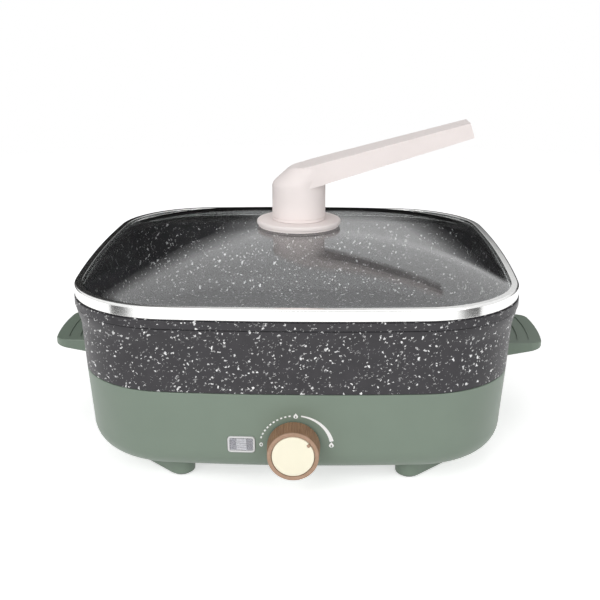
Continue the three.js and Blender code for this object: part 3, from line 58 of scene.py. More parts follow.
# Sizes read from the CAD model
BAND_LOW, BAND_HIGH = node_box("lid_rim_band")
HOUSING_LOW, HOUSING_HIGH = node_box("base_housing")
FLANGE_LOW, FLANGE_HIGH = node_box("handle_flange")
HANDLE_LOW, HANDLE_HIGH = node_box("lid_handle")
KNOB_LOW, KNOB_HIGH = node_box("knob_ring")
CAP_LOW = node_box("knob_cap")[0]
POT_HIGH = node_box("pot")[1]
PAD_TOP = node_box("foot_pad_front_left")[1].z

# Outline of the body
BAND_HALF_WIDTH = BAND_HIGH.x
BAND_CORNER_RADIUS = 75.9
SIDE_RADIUS_SHARE = 7.86
WALL_DRAFT_SHARE = 0.066
SEAM_HEIGHT = HOUSING_HIGH.z
SEAM_HALF_WIDTH = BAND_HALF_WIDTH - 5.5
SEAM_CORNER_RADIUS = 68
LID_TOP = BAND_HIGH.z

# Base housing
HULL_BOTTOM = 13.2
HULL_EDGE_WIDTH = 21.3
HULL_EDGE_HEIGHT = 19.6
HULL_EDGE_POWER = 2.2
BOTTOM_CORNER_RADIUS = 41
HOUSING_WALL = 3
HOUSING_FLOOR = 4.2
SEAM_EDGE = 0.7
COVER_HALF_WIDTH = 108.3
COVER_CORNER_RADIUS = 62.3
COVER_SEAT = 15.5
COVER_LEDGE = 10
SPINDLE_HOLE_RADIUS = 5.2
SPINDLE_HOLE_DEPTH = 20

# Side grips
GRIP_REACH = HOUSING_HIGH.x
GRIP_HALF_WIDTH = 36.7
GRIP_TOP = 69
GRIP_TIP_THICKNESS = 4.8
GRIP_ROOT_THICKNESS = 12
GRIP_ROOT_DEPTH = 2  # how far its root goes into the housing's wall
GRIP_END_RADIUS = 215
GRIP_END_CENTRE = (GRIP_REACH - GRIP_END_RADIUS, 0)
GRIP_CORNER_RADIUS = 10
GRIP_EDGE = 0.9
GRIP_SIDE_OVERRUN = 1  # how far its side view runs past its plan
GRIP_WALL = 2.6
GRIP_RIB = 2
GRIP_POCKETS = 3
GRIP_GROOVE_WIDTH = 1.3
GRIP_GROOVE_DEPTH = 0.9
GRIP_GROOVE_INSETS = (10.4, 19)
GRIP_GROOVE_MARGIN = 8.5

# Legs and pads
LEG_DISTANCE = 142.13
LEG_HALF_LENGTH = 27.6
LEG_RADIUS = 9.6
LEG_BOTTOM = HOUSING_LOW.z
LEG_EDGE = 2
LEG_ROOT = 15.3
LEG_HEADINGS = {"back_right": 45, "back_left": 135, "front_left": 225, "front_right": 315}
PAD_RADIUS = LEG_RADIUS - 2.6
PAD_EDGE = 0.5
PAD_ROOM = 0.3
PAD_RECESS = 1.5

# Pot
POT_RIM = POT_HIGH.z
POT_UNDERSIDE = 55.5
POT_FLOOR = 60
POT_OUTER_FILLET = 11
POT_INNER_FILLET = 14
POT_SIDE_GAP = 0.8
POT_WALL = 3.6
POT_SHOULDER = SEAM_HEIGHT + 0.3
POT_SHOULDER_INSET = 0.5
POT_OUTER_HEIGHTS = (POT_SHOULDER + 0.3, POT_SHOULDER + 1, 85, 95)
POT_COVE_BOTTOM = 105
POT_FLANGE_BOTTOM = 119.8
POT_FLANGE_HALF_WIDTH = POT_HIGH.x
POT_FLANGE_EDGE = 0.4
POT_FLANGE_FOOT = 0.2
POT_FLANGE_STEP = 0.7
POT_GROOVE_DEPTH = 0.8
POT_GROOVE_HEIGHT = 0.9
POT_RABBET_DEPTH = 1.5
POT_RABBET_HEIGHT = 0.7
POT_MOUTH_HALF_WIDTH = 154.6
POT_MOUTH_EDGE = 1
POT_INNER_HEIGHTS = (POT_RIM - POT_MOUTH_EDGE, 118, 110, 100, 90, 80)

# Lid
BAND_BOTTOM = 126.1
BAND_SHEET = 0.8
BAND_EDGE_RADIUS = 1.6
BAND_LIP = 5.4
BAND_HEM = 1.7
BAND_SHELF = 128.6
BAND_SKIRT_INSET = 6.6
BAND_SKIRT_BOTTOM = BAND_LOW.z
GLASS_HALF_WIDTH = 158.9
GLASS_THICKNESS = 4
GLASS_EDGE_TOP = 132.9
GLASS_RISE = 20.7
GLASS_POWER = 2.4
GLASS_FLAT_SHARE = 0.9673
GLASS_MIDDLE_SHARE = 0.9
GLASS_EDGE_SHARE = 0.4707
GLASS_HOLE_RADIUS = 5

# Handle, with heights from its lower end and places as (x, height)
FLANGE_RADIUS = FLANGE_HIGH.x
FLANGE_EDGE = 1.4
FLANGE_SKIRT_INSET = 1.2
FLANGE_SKIRT_WIDTH = 2
HANDLE_EDGE = 1.6
HANDLE_EDGE_ANGLE = 28
HANDLE_BOTTOM = HANDLE_LOW.z
HANDLE_BORE = 2.8
HANDLE_BORE_DEPTH = 22.3
POST_RADIUS = 20.7
POST_COLLAR_HEIGHT = 2.1
POST_GROOVE_DEPTH = 0.6
POST_GROOVE_HEIGHT = 0.5
SHOULDER_HEIGHT = 28.6
SHOULDER_BEND = 2.4
CROWN_X = 11.8
CROWN_RADIUS = 18.5
CROWN_HEIGHT = 41.2
NOSE_PLACE = (-10.8, 37.6)
KNEE_PLACE = (2, 41.8)
TIP_PLACE = (128.8, 75.7)
TIP_BOTTOM_PLACE = (132.2, 64.7)
ROOT_BOTTOM_HEIGHT = 23.6
TIP_HALF_WIDTH = 13

# Knob, built with its front up
KNOB_HEIGHT = (KNOB_LOW.z + KNOB_HIGH.z) / 2
KNOB_BACK = -KNOB_HIGH.y
KNOB_FRONT = -KNOB_LOW.y
KNOB_BACK_RADIUS = 17.9
KNOB_FRONT_RADIUS = 17.1
KNOB_SMOOTH_FRONT = 1.6
KNOB_BACK_EDGE = 0.4
KNOB_FRONT_EDGE = 0.5
KNOB_BORE_EDGE = 0.2
KNOB_BORE_RADIUS = 14.4
KNOB_FLUTES = 60
KNOB_FLUTE_DEPTH = 0.4
KNOB_FLUTE_POWER = 0.6
KNOB_FLUTE_ENDS = (-0.2, 0.1, 0.3)  # heights over which the ribs fade into the smooth front
CAP_RADIUS = 14.1
CAP_THICKNESS = 2.6
CAP_EDGE = 0.8
CAP_EDGE_ANGLE = 80
CAP_MARK_WIDTH = 2.4
CAP_MARK_DEPTH = 2.2
CAP_MARK_ANGLE = 52
CAP_MARK_CORNER = 0.6
CAP_MARK_ROOM = 0.1
CAP_MARK_SINK = 0.12
CAP_MARK_EDGE = 0.1

# Signal lamp, with heights out of the wall
LAMP_X = -35.5
LAMP_Z = 35.8
LENS_WIDTH = 18.7
LENS_HEIGHT = 12.1
LENS_CORNER_RADIUS = 2.5
LENS_PROUD = 0.6
LENS_SINK = 0.9
LENS_ROOM = 0.3
LENS_FRAME = 1.3
LENS_FRAME_OUTER_EDGE = 0.3
LENS_FRAME_INNER_EDGE = 0.25
LENS_OPENING_INSET = LENS_FRAME + 0.1
LENS_WINDOW_BOTTOM = -0.1
LENS_WINDOW_EDGE = 0.15
LENS_PLUG_INSET = 2.2
LENS_PLUG_DEPTH = 4.6
LENS_PLATE_TOP = 0.15 - LENS_SINK
LENS_FACET_TOP = -0.2
LENS_FACET_MARGIN = 0.3
LENS_FACET_GAP = 0.2
LENS_FACET_LIFT = 0.02
LENS_FACET_ROWS = 3
LENS_FACET_COLUMNS = 2
LENS_BLOCK_WIDTH = 6.6
LENS_BLOCK_HEIGHT = 8.0
LENS_BLOCK_CORNER = 0.5
LENS_BLOCK_RIBS = 5
LENS_BLOCK_GROOVE = 0.5
LENS_BLOCK_GROOVE_CORNER = 0.15

# Inlet
INLET_Z = 40
INLET_OPENING = (29.6, 20.6, 4)  # width, height and corner radius
INLET_CUT_START = 130
INLET_PAD_START = SEAM_HALF_WIDTH - 6.5
INLET_PAD_Y = 156.4
INLET_PAD_OUTLINE = (56, 32, 7)
INLET_PAD_EDGE = 0.6

# Print round the knob: its angles are clockwise from the top
PRINT_RADIUS = 24.8
PRINT_SHIFT = (1.4, -3.2)  # from the knob's axis to the middle of the scale
PRINT_PROUD = 0.06
PRINT_SINK = 0.3
DASH_COUNT = 10
DASH_WIDTH = 1.05
DASH_ANGLES = (-71.9, -7.9)
SWEEP_ANGLES = (8.3, 76.9)
SWEEP_WIDTHS = (0.95, 2.75)
FLAMES = ((0, 0, 3.8), (82.6, 0.6, 4.1))  # angle, how far inside the scale's circle, height
FLAME_OUTER_SHARES = (
    (0, 0.5), (0.15, 0.3), (0.33, 0.08), (0.42, -0.14), (0.36, -0.36), (0.18, -0.49), (0, -0.5),
)
FLAME_INNER_SHARES = (
    (0, 0.04), (0.04, -0.02), (0.1, -0.12), (0.13, -0.23), (0.11, -0.34), (0.06, -0.41), (0, -0.43),
)
ZERO_ANGLE = -82.9
ZERO_INSET = 1.2
ZERO_WIDTH = 2.4
ZERO_HEIGHT = 3.1
ZERO_STROKE = 0.7

# Steps of curved outlines
SIDE_STEPS = 22
CORNER_STEPS = 18
EDGE_STEPS = 16
DOME_STEPS = 34
CIRCLE_STEPS = 96
SWEEP_STEPS = 24
FLUTE_STEPS = 8
FILLET_STEPS = 10
BROAD_STEPS = 8
ROUND_STEPS = 6
FOLD_STEPS = 5
SMALL_STEPS = 4
TINY_STEPS = 3

# Angles between faces, in degrees, over which an edge is rounded or shaded sharp
ROUNDING_ANGLE = 35
SHARP_ANGLE = 40
LID_SHARP_ANGLE = 50
KNOB_SHARP_ANGLE = 55
PRINT_SHARP_ANGLE = 30
FACET_SHARP_ANGLE = 20


def mix(first, second, share):
    return first + (second - first) * share


def shares(steps):
    """Even shares from 0 to 1."""
    return [step / steps for step in range(steps + 1)]


def arc_places(centre, radius, start, end, steps=ROUND_STEPS):
    """Places on an arc, from one angle to another in degrees."""
    angles = [math.radians(mix(start, end, share)) for share in shares(steps)]
    return [(centre[0] + radius * math.cos(a), centre[1] + radius * math.sin(a)) for a in angles]


def level(outline, z):
    return [Vector((x, y, z)) for x, y in outline]


class Section:
    """Outline at a height: a square with bowed sides and round corners."""

    def __init__(self, half_width, corner_radius, z, side_radius=None):
        self.half_width = half_width
        self.corner_radius = corner_radius
        self.z = z
        self.side_radius = side_radius or half_width * SIDE_RADIUS_SHARE

    def inset(self, distance, z=None):
        sizes = (self.half_width, self.corner_radius, self.side_radius)
        half_width, corner_radius, side_radius = (size - distance for size in sizes)
        return Section(half_width, corner_radius, self.z if z is None else z, side_radius)

    def points(self):
        side_centre = self.side_radius - self.half_width
        reach = 2 * (self.side_radius - self.corner_radius) ** 2 - side_centre ** 2
        corner_centre = (math.sqrt(reach) - side_centre) / 2
        angle = math.degrees(math.atan2(corner_centre, corner_centre + side_centre))
        corner = (corner_centre, corner_centre)
        arc = arc_places((-side_centre, 0), self.side_radius, -angle, angle, SIDE_STEPS)[:-1]
        arc += arc_places(corner, self.corner_radius, angle, 90 - angle, CORNER_STEPS)[:-1]
        quarters = [Matrix.Rotation(quarter * math.pi / 2, 3, "Z") for quarter in range(4)]
        return [turned @ point for turned in quarters for point in level(arc, self.z)]


def wall_half_width(z):
    return SEAM_HALF_WIDTH + WALL_DRAFT_SHARE * (z - SEAM_HEIGHT)


def wall_section(z):
    growth = (BAND_CORNER_RADIUS - SEAM_CORNER_RADIUS) / (LID_TOP - SEAM_HEIGHT)
    return Section(wall_half_width(z), SEAM_CORNER_RADIUS + growth * max(z - SEAM_HEIGHT, 0), z)


# Mesh making
def add_object(name, data):
    made = bpy.data.objects.new(name, data)
    scene.collection.objects.link(made)
    return made


def mesh_object(name, vertices, faces):
    mesh = bpy.data.meshes.new(name)
    mesh.from_pydata([Vector(vertex) * MM for vertex in vertices], [], faces)
    mesh.validate()
    return add_object(name, mesh)


def skin_faces(size, count, closed=False, first=0):
    """Faces through rings of equally many points, capped at the ends or closed on themselves."""
    faces = []
    for ring in range(count if closed else count - 1):
        low, high = (first + step % count * size for step in (ring, ring + 1))
        for side in range(size):
            after = (side + 1) % size
            faces.append((low + side, low + after, high + after, high + side))
    if not closed:
        last = first + (count - 1) * size
        faces += [tuple(reversed(range(first, first + size))), tuple(range(last, last + size))]
    return faces


def skin(name, rings, closed=False):
    vertices = [point for ring in rings for point in ring]
    return mesh_object(name, vertices, skin_faces(len(rings[0]), len(rings), closed))


def loft(name, sections, closed=False):
    return skin(name, [section.points() for section in sections], closed)


def circle(radius, height, x=0.0, steps=CIRCLE_STEPS):
    return level(arc_places((x, 0), radius, 0, 360, steps)[:-1], height)


def lathe(name, profile, closed=True, steps=CIRCLE_STEPS):
    """Turns a list of (radius, height) places round Z; a closed one has a bore."""
    return skin(name, [circle(radius, height, steps=steps) for radius, height in profile], closed)


def rod(name, radius, bottom, top):
    return lathe(name, [(radius, bottom), (radius, top)], False, CIRCLE_STEPS // 2)


def rounded_rectangle(width, height, radius, steps=ROUND_STEPS):
    right = width / 2 - radius
    top = height / 2 - radius
    centres = ((right, top), (-right, top), (-right, -top), (right, -top))
    return [
        place for quarter, centre in enumerate(centres)
        for place in arc_places(centre, radius, quarter * 90, quarter * 90 + 90, steps)
    ]


def prism(name, outline, bottom, top):
    """Upright body of an outline, which runs counter-clockwise."""
    return skin(name, [level(outline, bottom), level(outline, top)])


def turn(degrees, axis="Z"):
    return Matrix.Rotation(math.radians(degrees), 4, axis)


def shift(x, y, z):
    return Matrix.Translation((x, y, z))


def move(thing, matrix):
    """Moves a piece's mesh by a matrix in millimetres."""
    scaled = matrix.copy()
    scaled.translation = matrix.to_translation() * MM
    thing.data.transform(scaled)
    thing.data.update()
    return thing


def bake(thing):
    """Applies a piece's modifiers to its mesh."""
    graph = bpy.context.evaluated_depsgraph_get()
    mesh = bpy.data.meshes.new_from_object(thing.evaluated_get(graph))
    thing.modifiers.clear()
    thing.data = mesh
    return thing


def combine(thing, operation, *others):
    """Cuts other bodies out of a piece, joins them to it, or keeps what they share."""
    for other in others:
        step = thing.modifiers.new("boolean", "BOOLEAN")
        step.operation = operation
        step.solver = "EXACT"
        step.object = other
    bake(thing)
    for other in others:
        bpy.data.objects.remove(other)
    return thing


def cut(thing, *others):
    return combine(thing, "DIFFERENCE", *others)


def bevel(thing, width, segments, angle):
    edges = thing.modifiers.new("edges", "BEVEL")
    edges.width = width * MM
    edges.segments = segments
    edges.limit_method = "ANGLE"
    edges.angle_limit = math.radians(angle)


def soften(thing, width, segments=2, angle=ROUNDING_ANGLE):
    """Rounds the piece's edges, and shades flat faces flat."""
    bevel(thing, width, segments, angle)
    return shade(bake(thing))


def smooth(thing, angle):
    thing.data.shade_smooth()
    thing.data.set_sharp_from_angle(angle=math.radians(angle))


def shade(thing, angle=SHARP_ANGLE):
    smooth(thing, angle)
    normals = thing.modifiers.new("flat_faces", "WEIGHTED_NORMAL")
    normals.keep_sharp = True
    return thing


def dress(thing, look):
    thing.data.materials.clear()
    thing.data.materials.append(look.material)


def finish(thing, look, body, slot, *replaced):
    """Gives a piece its material and its body, and hides the CAD nodes that it stands for; its slot is not
    used.
    """
    dress(thing, look)
    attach(thing, body)
    if replaced:
        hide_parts(*replaced)


# Materials, whose scales count per metre
CLOUD_VALUES = (0.3, 0.7)  # values of a noise at its dark and at its light tone
PLASTIC_CLOUD_SCALE = 28
PLASTIC_GLOSS_SCALE = 60
PLASTIC_GLOSS_SHARES = (0.9, 1.1)
METAL_TONE_SHARE = 0.05
METAL_GLOSS_SHARES = (0.8, 1.25)
GLASS_CLOUD_SCALE = 20
GLASS_TONE_SHARE = 0.01
GLASS_INDEX = 1.46
COAT_COLOUR = (0.036, 0.034, 0.038)
COAT_TONE_SHARE = 0.14
COAT_CLOUD_SCALE = 90
COAT_GRAIN_SCALE = 900
COAT_GRAIN = 0.03
FLAKE_STRETCH = 2.5
FLAKE_RAGGED_SCALE = 620
FLAKE_RAGGED_REACH = 0.0028
FLAKE_DARK_SHARE = 0.7
FLAKE_LIGHT_VALUE = 0.6  # value of a cell from which its flake is fully light
FLAKES = (  # cells per metre, turns, share of cells that hold a flake, its reach and tone
    (1500, (5, 40, -20), 0.07, (0.20, 0.45), 0.30),
    (1000, (15, 70, 5), 0.08, (0.15, 0.42), 0.50),
    (560, (80, -25, 40), 0.09, (0.16, 0.34), 0.75),
    (460, (-50, 60, 20), 0.085, (0.14, 0.30), 0.92),
    (400, (10, -65, 75), 0.075, (0.13, 0.27), 0.92),
    (350, (40, 30, -35), 0.06, (0.12, 0.26), 0.92),
    (300, (-20, -40, -70), 0.03, (0.14, 0.28), 0.92),
)
WOOD_STRETCH = (1, 0.12, 1)
WOOD_SCALE = 420
WOOD_GRAIN = 0.03
WOOD_SIDE = ((0.27, 0.150, 0.085), (0.38, 0.22, 0.125))
# Paler brown of the knob's smooth front: painted light, standing for the light that face catches
WOOD_FRONT_PAINTED_LIGHT = ((0.37, 0.235, 0.155), (0.44, 0.285, 0.20))
STRIPE_SCALE = 160
STRIPED_GRAIN = 0.02
STRIPED_GRAIN_SCALE = 700
STRIPES = ((0.62, (0.05, 0.24, 0.04)), (0.68, (0.62, 0.55, 0.05)))


def grey(tone):
    return (tone, tone, tone)


class Nodes:
    """Helpers for a tree of shader nodes."""

    def __init__(self, tree):
        self.tree = tree

    def feed(self, node, inputs):
        """Links a node's inputs to the outputs of others, or sets them to values."""
        for key, value in inputs.items():
            if isinstance(value, bpy.types.NodeSocket):
                self.tree.links.new(value, node.inputs[key])
            else:
                node.inputs[key].default_value = value

    def node(self, kind, inputs=None, **settings):
        made = self.tree.nodes.new("ShaderNode" + kind)
        for key, value in settings.items():
            setattr(made, key, value)
        self.feed(made, inputs or {})
        return made

    def calculate(self, operation, first, second):
        return self.node("Math", {0: first, 1: second}, operation=operation).outputs["Value"]

    def shows_directly(self):
        """1 for the rays of the camera, of gloss and of glass, which see the background as white."""
        rays = self.node("LightPath").outputs
        either = self.calculate("MAXIMUM", rays["Is Camera Ray"], rays["Is Glossy Ray"])
        return self.calculate("MAXIMUM", either, rays["Is Transmission Ray"])

    def mix_shaders(self, share, first, second):
        return self.node("MixShader", {"Fac": share, 1: first, 2: second}).outputs["Shader"]


class Look(Nodes):
    """A Principled material."""

    def __init__(self, name, roughness, metallic=0.0, coat=0.0, specular=0.5):
        self.material = bpy.data.materials.new(name)
        self.material.use_nodes = True
        super().__init__(self.material.node_tree)
        self.shader = self.tree.nodes["Principled BSDF"]
        self.feed(self.shader, {
            "Roughness": roughness,
            "Metallic": metallic,
            "Coat Weight": coat,
            "Specular IOR Level": specular,
        })
        self.place = self.node("TexCoord").outputs["Object"]

    def noise(self, scale, detail=3, place=None, output="Fac"):
        inputs = {"Vector": place or self.place, "Scale": scale, "Detail": detail}
        return self.node("TexNoise", inputs).outputs[output]

    def drawn_out(self, scales):
        return self.node("Mapping", {"Vector": self.place, "Scale": scales}).outputs["Vector"]

    def warped(self, place, scale, reach):
        """Places pushed about by noise, so that outlines drawn on them turn ragged."""
        push = {0: self.noise(scale, 2, place, "Color"), 1: grey(0.5)}
        centred = self.node("VectorMath", push, operation="SUBTRACT").outputs["Vector"]
        scaled = {0: centred, 1: grey(reach), 2: place}
        return self.node("VectorMath", scaled, operation="MULTIPLY_ADD").outputs["Vector"]

    def ramp(self, value, *stops):
        """Colours along a value: stops are (position, colour)."""
        made = self.node("ValToRGB", {"Fac": value})
        elements = made.color_ramp.elements
        for index, (position, colour) in enumerate(stops):
            element = elements[index] if index < 2 else elements.new(position)
            element.position = position
            element.color = (*colour, 1)
        return made.outputs["Color"]

    def cloud(self, value, dark, light):
        """Two tones that follow a noise."""
        return self.ramp(value, *zip(CLOUD_VALUES, (dark, light)))

    def tones(self, value, colour, tone_share):
        """A colour that follows a noise, darker and lighter by a share."""
        dark, light = ([min(c * (1 + side), 1) for c in colour] for side in (-tone_share, tone_share))
        return self.cloud(value, dark, light)

    def blend(self, share, first, second):
        inputs = {"Factor": share, "A": first, "B": second}
        return self.node("Mix", inputs, data_type="RGBA").outputs["Result"]

    def rescale(self, value, start, end, low=0.0, high=1.0, **settings):
        """Brings a value from one range to another."""
        inputs = {"Value": value, "From Min": start, "From Max": end, "To Min": low, "To Max": high}
        return self.node("MapRange", inputs, **settings).outputs["Result"]

    def bump(self, height, distance):
        made = self.node("Bump", {"Distance": distance * MM, "Strength": 1.0, "Height": height})
        self.feed(self.shader, {"Normal": made.outputs["Normal"]})

    def colour(self, source):
        self.feed(self.shader, {"Base Color": source})

    def roughen(self, value, roughness, gloss_shares):
        low, high = (roughness * share for share in gloss_shares)
        self.feed(self.shader, {"Roughness": self.rescale(value, 0, 1, low, high)})

    def reveal(self, share):
        """Lets what is behind the material through, by a share from 0 to 1."""
        clear = self.node("BsdfTransparent").outputs["BSDF"]
        both = self.mix_shaders(share, self.shader.outputs["BSDF"], clear)
        self.feed(self.tree.nodes["Material Output"], {"Surface": both})


def moulded(
    name, colour, roughness, tone_share=0.03, grain=0.02, grain_scale=1400, coat=0.0, specular=0.5,
):
    """Moulded plastic or rubber: faint clouds of tone and a fine grain."""
    look = Look(name, roughness, coat=coat, specular=specular)
    look.colour(look.tones(look.noise(PLASTIC_CLOUD_SCALE), colour, tone_share))
    look.roughen(look.noise(PLASTIC_GLOSS_SCALE), roughness, PLASTIC_GLOSS_SHARES)
    look.bump(look.noise(grain_scale, 2), grain)
    return look


def metal(name, colour, roughness, grain=0.01, grain_scale=700, stretch=(1, 1, 1)):
    """Metal with fine marks, drawn out along an axis where it is brushed."""
    look = Look(name, roughness, metallic=1.0)
    marks = look.noise(grain_scale, place=look.drawn_out(stretch))
    look.colour(look.tones(marks, colour, METAL_TONE_SHARE))
    look.roughen(marks, roughness, METAL_GLOSS_SHARES)
    look.bump(marks, grain)
    return look


def speckled_coat():
    """Dark non-stick coat with irregular pale flakes of many sizes, drawn out in all directions."""
    look = Look("pot_coat", 0.42, specular=0.35)
    colour = look.tones(look.noise(COAT_CLOUD_SCALE), COAT_COLOUR, COAT_TONE_SHARE)
    ragged = look.warped(look.place, FLAKE_RAGGED_SCALE, FLAKE_RAGGED_REACH)
    for scale, turns, share, reach, tone in FLAKES:
        turned = look.node("Mapping", {
            "Vector": ragged,
            "Rotation": [math.radians(degrees) for degrees in turns],
            "Scale": (1, 1, FLAKE_STRETCH),
        }, vector_type="TEXTURE").outputs["Vector"]
        cells = look.node("TexVoronoi", {"Vector": turned, "Scale": scale}, distance="CHEBYCHEV").outputs
        pick = look.node("SeparateColor", {"Color": cells["Color"]}).outputs
        held = look.calculate("GREATER_THAN", pick["Red"], 1 - share)
        size = look.rescale(pick["Red"], 1 - share, 1, *reach)
        inside = look.calculate("LESS_THAN", cells["Distance"], size)
        shown = look.calculate("MULTIPLY", inside, held)
        dark = (0.0, grey(tone * FLAKE_DARK_SHARE))
        fleck = look.ramp(pick["Green"], dark, (FLAKE_LIGHT_VALUE, grey(tone)))
        colour = look.blend(shown, colour, fleck)
    look.colour(colour)
    look.bump(look.noise(COAT_GRAIN_SCALE, 2), COAT_GRAIN)
    return look


def clear_glass(name, tint, roughness):
    """Glass that lets the lamps' light through, so that what lies under it is lit."""
    look = Look(name, roughness)
    look.feed(look.shader, {"Transmission Weight": 1.0, "IOR": GLASS_INDEX})
    look.colour(look.tones(look.noise(GLASS_CLOUD_SCALE), tint, GLASS_TONE_SHARE))
    look.reveal(look.node("LightPath").outputs["Is Shadow Ray"])
    return look


def knob_wood():
    """Brown plastic with a faint upright grain; its smooth front gets a paler brown, which is painted light
    for the light that face catches.
    """
    look = Look("knob_brown", 0.5)
    grain = look.noise(WOOD_SCALE, 4, look.drawn_out(WOOD_STRETCH))
    y = look.node("SeparateXYZ", {"Vector": look.place}).outputs["Y"]
    start, end = ((inset - KNOB_FRONT) * MM for inset in (KNOB_SMOOTH_FRONT, KNOB_SMOOTH_FRONT / 2))
    # side is the knob's own brown; front is painted light, a paler brown for the lit smooth front
    side, front = (look.cloud(grain, *tones) for tones in (WOOD_SIDE, WOOD_FRONT_PAINTED_LIGHT))
    look.colour(look.blend(look.rescale(y, start, end), side, front))
    look.bump(grain, WOOD_GRAIN)
    return look


def striped_wire():
    """Green insulation with yellow stripes."""
    look = Look("green_insulation", 0.5)
    wave = look.node("TexWave", {"Scale": STRIPE_SCALE, "Vector": look.place})
    look.colour(look.ramp(wave.outputs["Fac"], *STRIPES))
    look.bump(look.noise(STRIPED_GRAIN_SCALE), STRIPED_GRAIN)
    return look


class Looks:
    """The object's materials."""

    housing = moulded("housing_green", (0.190, 0.242, 0.192), 0.42)
    pot = speckled_coat()
    band = metal("band_steel", (0.86, 0.86, 0.85), 0.16, grain=0.004, grain_scale=300, stretch=(1, 1, 12))
    lid = clear_glass("lid_glass_clear", (0.93, 0.95, 0.95), 0.0)
    handle = moulded("handle_cream", (0.90, 0.825, 0.805), 0.5, grain=0.012, specular=0.1)
    wood = knob_wood()
    ivory = moulded("knob_ivory", (0.93, 0.88, 0.70), 0.3, grain=0.008, coat=0.15)
    lens_frame = moulded("lens_frame", grey(0.70), 0.25, grain=0.008)
    lens = clear_glass("lens_clear", (0.90, 0.90, 0.91), 0.03)
    reflector = moulded("lens_reflector", (0.46, 0.46, 0.48), 0.18, grain=0.01, tone_share=0.1)
    facets = moulded("lens_facets", (0.22, 0.22, 0.24), 0.15, grain=0.01, tone_share=0.1)
    neon = clear_glass("neon_glass", (0.9, 0.82, 0.72), 0.05)
    rubber = moulded("pad_rubber", grey(0.024), 0.8, grain=0.05, grain_scale=900, tone_share=0.15)
    zinc = metal("plated_steel", (0.55, 0.55, 0.56), 0.35)
    shield = metal("shield_steel", (0.62, 0.62, 0.61), 0.3, stretch=(1, 14, 1))
    sheath = metal("element_sheath", (0.30, 0.29, 0.28), 0.5, grain=0.03)
    brass = metal("contact_brass", (0.62, 0.45, 0.17), 0.3)
    ceramic = moulded("white_ceramic", (0.80, 0.77, 0.69), 0.6, grain=0.04, tone_share=0.05)
    black = moulded("inlet_black", (0.018, 0.018, 0.019), 0.4, tone_share=0.15)
    silicone = moulded("seal_silicone", (0.68, 0.66, 0.63), 0.65, tone_share=0.05)
    brown_wire = moulded("brown_insulation", (0.17, 0.075, 0.03), 0.5, tone_share=0.1)
    blue_wire = moulded("blue_insulation", (0.03, 0.11, 0.33), 0.5, tone_share=0.1)
    earth_wire = striped_wire()
    ink = moulded("print_white", (0.96, 0.96, 0.95), 0.5, grain=0.01, tone_share=0.04)


# Base housing
def hull_sections(wall_inset, bottom):
    """Sections from the flat bottom, round the hull's edge and up to the wall."""
    edge_top = HULL_BOTTOM + HULL_EDGE_HEIGHT
    sections = []
    for share in reversed(shares(EDGE_STEPS)):
        angle = share * math.pi / 2
        drop = math.sin(angle) ** (2 / HULL_EDGE_POWER)
        pull = 1 - max(math.cos(angle), 0) ** (2 / HULL_EDGE_POWER)
        corner_radius = mix(SEAM_CORNER_RADIUS, BOTTOM_CORNER_RADIUS, pull)
        half_width = wall_half_width(edge_top) - HULL_EDGE_WIDTH * pull
        outer = Section(half_width, corner_radius, HULL_BOTTOM)
        sections.append(outer.inset(wall_inset, edge_top - (edge_top - bottom) * drop))
    return sections


def front_wall_frame(x, z):
    """Frame of a place on the front wall, whose own Z points out of the wall."""
    section = wall_section(z)
    y = section.side_radius - section.half_width - math.sqrt(section.side_radius ** 2 - x ** 2)
    yaw = math.degrees(math.asin(x / section.side_radius))
    lean = 90 + math.degrees(math.atan(WALL_DRAFT_SHARE))
    return shift(x, y, z) @ turn(yaw) @ turn(lean, "X")


def at_lamp(thing):
    return move(thing, front_wall_frame(LAMP_X, LAMP_Z))


def facing_back(thing, z):
    """Turns a body built along Z so that its far end points to +Y, at a height."""
    return move(thing, shift(0, 0, z) @ turn(-90, "X"))


def inlet_hole():
    return prism("cut", rounded_rectangle(*INLET_OPENING), INLET_CUT_START, INLET_PAD_Y + CUT_OVERRUN)


def housing_shell():
    edge_top = HULL_BOTTOM + HULL_EDGE_HEIGHT
    seam = wall_section(SEAM_HEIGHT)
    floor = HULL_BOTTOM + HOUSING_FLOOR
    rounding = arc_places((SEAM_EDGE, SEAM_HEIGHT - SEAM_EDGE), SEAM_EDGE, 180, 90, TINY_STEPS)
    cover = Section(COVER_HALF_WIDTH, COVER_CORNER_RADIUS, HULL_BOTTOM)
    shell = loft("housing_shell", [
        *hull_sections(0, HULL_BOTTOM),
        *(wall_section(mix(edge_top, SEAM_HEIGHT - SEAM_EDGE, share)) for share in shares(4)[1:]),
        *(wall_section(z).inset(depth) for depth, z in rounding[1:]),
        seam.inset(HOUSING_WALL),
        *reversed(hull_sections(HOUSING_WALL, floor)),
        cover.inset(COVER_LEDGE, floor),
        cover.inset(COVER_LEDGE, COVER_SEAT),
        cover.inset(0, COVER_SEAT),
        cover,
    ], True)
    window = lens_outline(-LENS_ROOM, ROUND_STEPS)
    plug = lens_outline(LENS_PLUG_INSET - LENS_ROOM, ROUND_STEPS, LENS_CORNER_RADIUS / 2)
    front = -SEAM_HALF_WIDTH
    spindle = rod("cut", SPINDLE_HOLE_RADIUS, front - CUT_OVERRUN, front + SPINDLE_HOLE_DEPTH)
    return shade(cut(
        shell,
        at_lamp(prism("cut", window, -LENS_SINK - LENS_ROOM, CUT_OVERRUN)),
        at_lamp(prism("cut", plug, -HOUSING_WALL - CUT_OVERRUN, 0)),
        facing_back(spindle, KNOB_HEIGHT),
        facing_back(inlet_hole(), INLET_Z),
    ))


